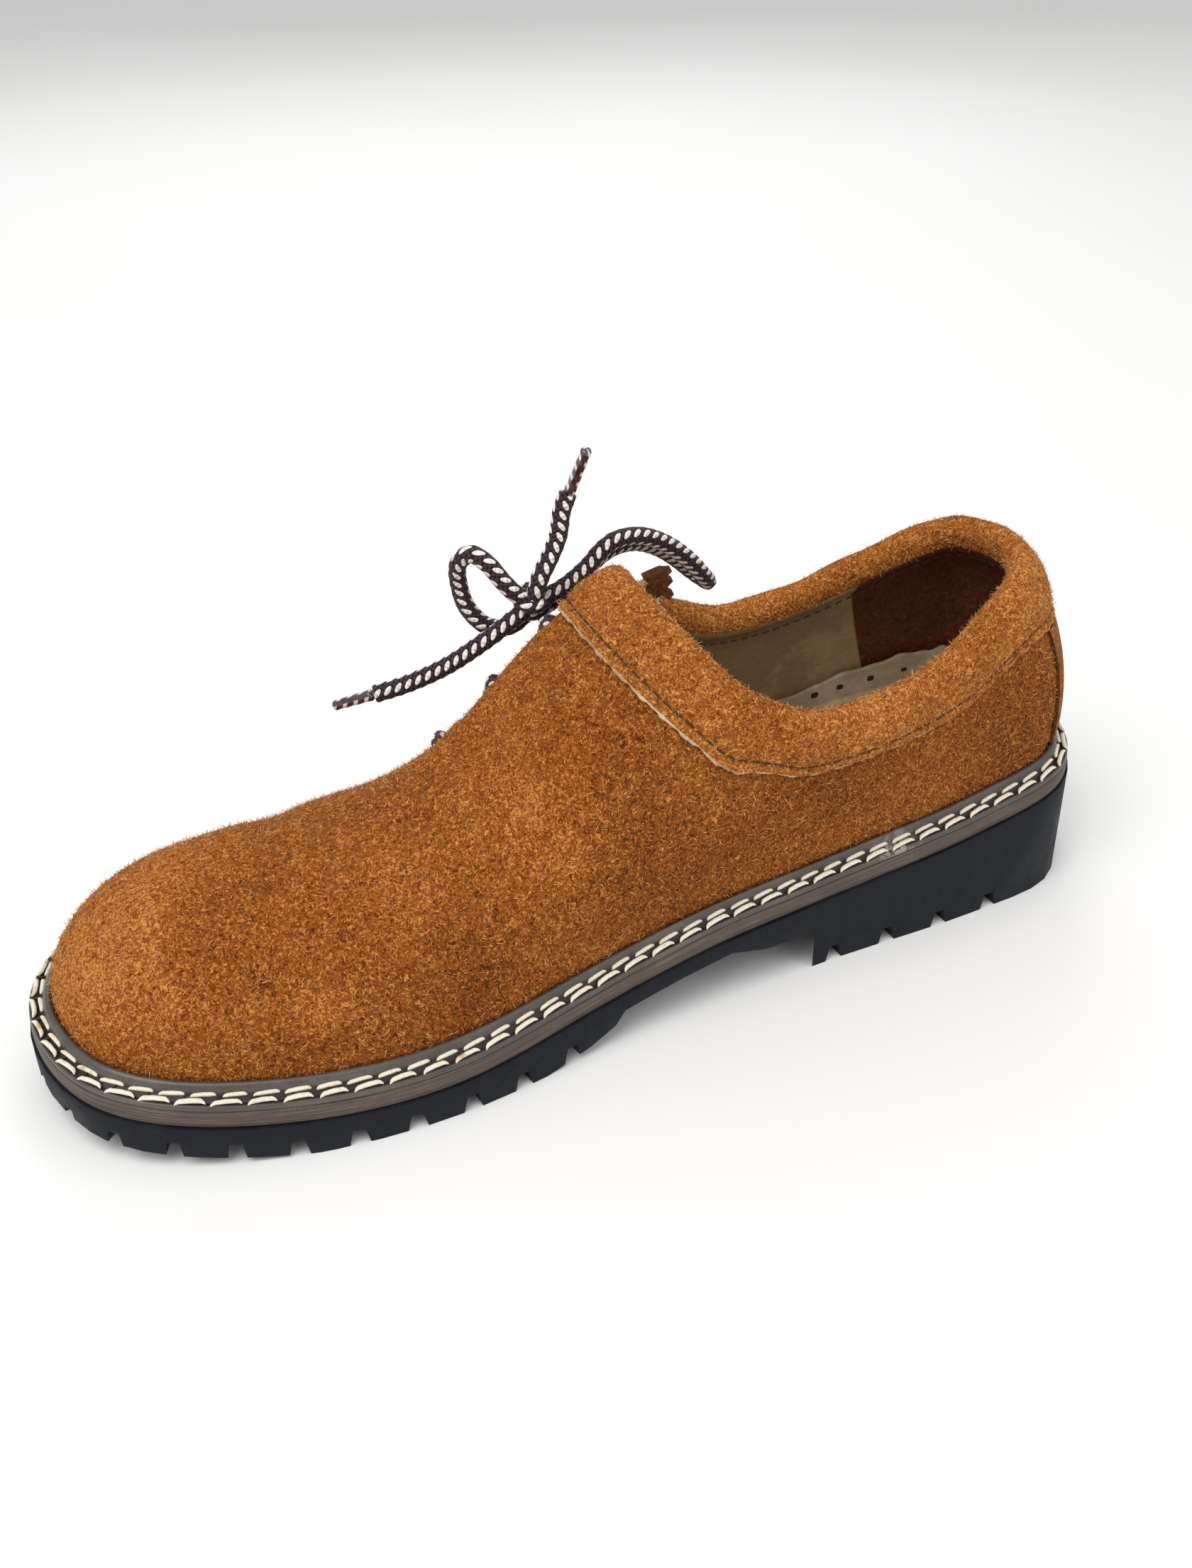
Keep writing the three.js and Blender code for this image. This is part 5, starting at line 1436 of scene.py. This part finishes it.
def make_fibre_tree():
    """Short fibres strewn over the faces of one material of a piece, each leaning its own way."""
    tree = bpy.data.node_groups.new("suede_fibres", "GeometryNodeTree")
    face = tree.interface
    face.new_socket("Hide", in_out="INPUT", socket_type="NodeSocketGeometry")
    for name, value in (("Density", 1.0e6), ("Length", 0.0014), ("Width", 0.00016)):
        face.new_socket(name, in_out="INPUT", socket_type="NodeSocketFloat").default_value = value
    face.new_socket("Seed", in_out="INPUT", socket_type="NodeSocketInt")
    face.new_socket("Nap", in_out="INPUT", socket_type="NodeSocketMaterial")
    face.new_socket("Fibre", in_out="INPUT", socket_type="NodeSocketMaterial")
    face.new_socket("Fibres", in_out="OUTPUT", socket_type="NodeSocketGeometry")
    given = tree.nodes.new("NodeGroupInput").outputs
    chosen = add(tree, "GeometryNodeMaterialSelection", {"Material": given["Nap"]})
    strewn = add(tree, "GeometryNodeDistributePointsOnFaces", {
        "Mesh": given["Hide"], "Selection": chosen.outputs[0], "Density": given["Density"],
        "Seed": given["Seed"],
    })
    spike = {"Vertices": 3, "Radius Bottom": 0.5, "Depth": 1.0}
    blade = add(tree, "GeometryNodeMeshCone", spike, fill_type="TRIANGLE_FAN")
    size = add(tree, "ShaderNodeCombineXYZ", {"X": given["Width"], "Y": given["Width"], "Z": given["Length"]})
    shaped = add(tree, "GeometryNodeTransform", {"Geometry": blade.outputs[0], "Scale": size.outputs[0]})
    least, most = (-1.35, -1.35, -3.1), (1.35, 1.35, 3.1)
    turned = add(tree, "FunctionNodeRandomValue", {0: least, 1: most, "Seed": given["Seed"]},
                 data_type="FLOAT_VECTOR")
    turning = {"Rotation": strewn.outputs["Rotation"], "Rotate By": turned.outputs[0]}
    lean = add(tree, "FunctionNodeRotateRotation", turning, rotation_space="LOCAL")
    vary = add(tree, "FunctionNodeRandomValue", {2: 0.5, 3: 1.5, "Seed": given["Seed"]}, data_type="FLOAT")
    rows = add(tree, "GeometryNodeInstanceOnPoints", {
        "Points": strewn.outputs["Points"], "Instance": shaped.outputs[0], "Rotation": lean.outputs[0],
        "Scale": vary.outputs[1],
    })
    real = add(tree, "GeometryNodeRealizeInstances", {"Geometry": rows.outputs[0]})
    dyed = add(tree, "GeometryNodeSetMaterial", {"Geometry": real.outputs[0], "Material": given["Fibre"]})
    out = tree.nodes.new("NodeGroupOutput")
    tree.links.new(dyed.outputs[0], out.inputs["Fibres"])
    return tree


def fibre_material(name, low, high):
    made, tree, shader, places = material(name, 0.9, specular=0.1)
    share = noise(tree, places["Object"], 700.0, 1.0, 0.5)
    color = blend(tree, window(tree, share, 0.3, 0.7), paint(low), paint(high))
    tree.links.new(color, shader.inputs["Base Color"])
    return made


def strew_fibres(name, hide, nap, fibre, density, seed, length=1.4):
    """Loose fibres standing out of the nap of a piece; density is per square metre."""
    fibres = bpy.data.objects.new(name, hide.data.copy())
    bpy.context.scene.collection.objects.link(fibres)
    values = {"Density": density, "Seed": seed, "Nap": nap, "Fibre": fibre, "Length": length * MM}
    return grown(fibres, FIBRE_TREE, fibre, **values)


# Vent holes of the insole: shares of the length, on the inner face of its cupped rim
INSOLE_HOLES = (0.1, 0.137, 0.173, 0.203, 0.24, 0.28)
INSOLE_HOLE_HEIGHT = 9.4
INSOLE_HOLE_DIAMETER = 2.5


def make_insole_holes():
    """Vent holes of the insole, as dark discs of painted shade on its cupped rim."""
    made, tree, shader, places = material("insole_hole_shade", 0.9)
    # painted shade: each disc stands for the shade inside a vent hole
    dark = noise(tree, places["Object"], 900.0)
    tree.links.new(blend(tree, dark, paint("1d140d"), paint("3a2c20")), shader.inputs["Base Color"])
    inner = -WALL - LINING_GAP - INSOLE_RIM
    angle = np.array([turn(share) for share in INSOLE_HOLES])
    points, facings = [], []
    for side in (1.0, -1.0):
        rise = rise_at(angle, side, inner, INSOLE_HOLE_HEIGHT)
        points.append(upper_offset(angle, rise, side, inner))
        facings.append(-upper_normal(angle, rise, side))
    points, facings = np.concatenate(points), np.concatenate(facings)
    aims = np.tile((1.0, 0.0, 0.0), (len(points), 1))
    across_hole = INSOLE_HOLE_DIAMETER * MM
    row = stitch_row("insole_holes", points, aims, facings, made, Length=across_hole, Width=across_hole,
                     Height=0.25 * MM, Bow=0.0, Unevenness=0.05, Seed=9)
    finish_piece(row, "insole_leather")


def make_ragged_lining():
    """Torn pale lining at the back end of the collar, by the slit."""
    draw = np.random.default_rng(11)
    count = 90
    way = np.full(count, COLLAR_END) + draw.uniform(-0.011, 0.005, count)
    below = draw.uniform(-4, 5, count)
    offset = draw.uniform(-6.2, -3.6, count)
    points = collar_point(way, below, offset)
    aims = unit(draw.normal(size=(count, 3)))
    facings = unit(draw.normal(size=(count, 3)))
    row = stitch_row("ragged_lining", points, aims, facings, CREAM_THREAD, Length=2.4 * MM, Width=0.8 * MM,
                     Height=0.6 * MM, Bow=0.7 * MM, Unevenness=0.4, Seed=13)
    finish_piece(row, "collar_suede")


def make_floor_and_lights():
    mesh = bpy.data.meshes.new("floor")
    mesh.from_pydata([(-3, -3, 0), (3, -3, 0), (3, 3, 0), (-3, 3, 0)], [], [(0, 1, 2, 3)])
    made, tree, shader, places = material("floor_paper", 0.85, specular=0.1)
    cloud = noise(tree, places["Object"], 2.0, 2.0, 0.5)
    tree.links.new(blend(tree, cloud, paint("f4f3f1"), paint("ffffff")), shader.inputs["Base Color"])
    mesh.materials.append(made)
    floor = bpy.data.objects.new("floor", mesh)
    bpy.context.scene.collection.objects.link(floor)
    lamps = (
        ("key", (0.55, 0.35, 1.1), 0.9, 9.5),
        ("fill", (-0.7, 0.9, 0.8), 1.0, 3.5),
        ("rim", (-0.3, -1.0, 0.8), 0.8, 3.5),
    )
    for name, place, size, power in lamps:
        data = bpy.data.lights.new(name, "AREA")
        data.size = size
        data.energy = power
        lamp = bpy.data.objects.new(name, data)
        lamp.location = place
        lamp.rotation_euler = (Vector((0, 0, 0.04)) - Vector(place)).to_track_quat("-Z", "Y").to_euler()
        bpy.context.scene.collection.objects.link(lamp)
    world = bpy.data.worlds.new("studio")
    bpy.context.scene.world = world
    world.use_nodes = True
    world.node_tree.nodes["Background"].inputs["Color"].default_value = (1, 1, 1, 1)
    world.node_tree.nodes["Background"].inputs["Strength"].default_value = 0.55
    bpy.context.scene.view_settings.view_transform = "Standard"


make_camera()
make_lace()
upper = finish_piece(make_upper(), "upper_suede", "upper")
collar = finish_piece(make_collar(), "collar_suede", "collar")
finish_piece(make_backstay(), "backstay_suede", "backstay")
finish_piece(make_tongue(), "tongue_suede", "tongue")
finish_piece(make_insole(), "insole_leather", "insole")
finish_piece(make_welt(), "welt_rubber", "welt")
finish_piece(make_midsole(), "midsole_rubber", "midsole")
finish_piece(make_outsole(), "outsole_rubber", "outsole")
make_welt_stitches()
make_collar_stitches()
make_insole_holes()
make_lining_stitches()
make_ragged_lining()
FIBRE_TREE = make_fibre_tree()
UPPER_FIBRE = fibre_material("upper_fibre", "7c3f14", "f0b872")
COLLAR_FIBRE = fibre_material("collar_fibre", "8a4a1a", "f4c284")
strewn = strew_fibres("upper_fibres", upper, SUEDE_UPPER, UPPER_FIBRE, density=0.72e6, seed=17)
finish_piece(strewn, "upper_suede")
strewn = strew_fibres("collar_fibres", collar, SUEDE_COLLAR, COLLAR_FIBRE, density=0.9e6, seed=19, length=1.2)
finish_piece(strewn, "collar_suede")
make_floor_and_lights()
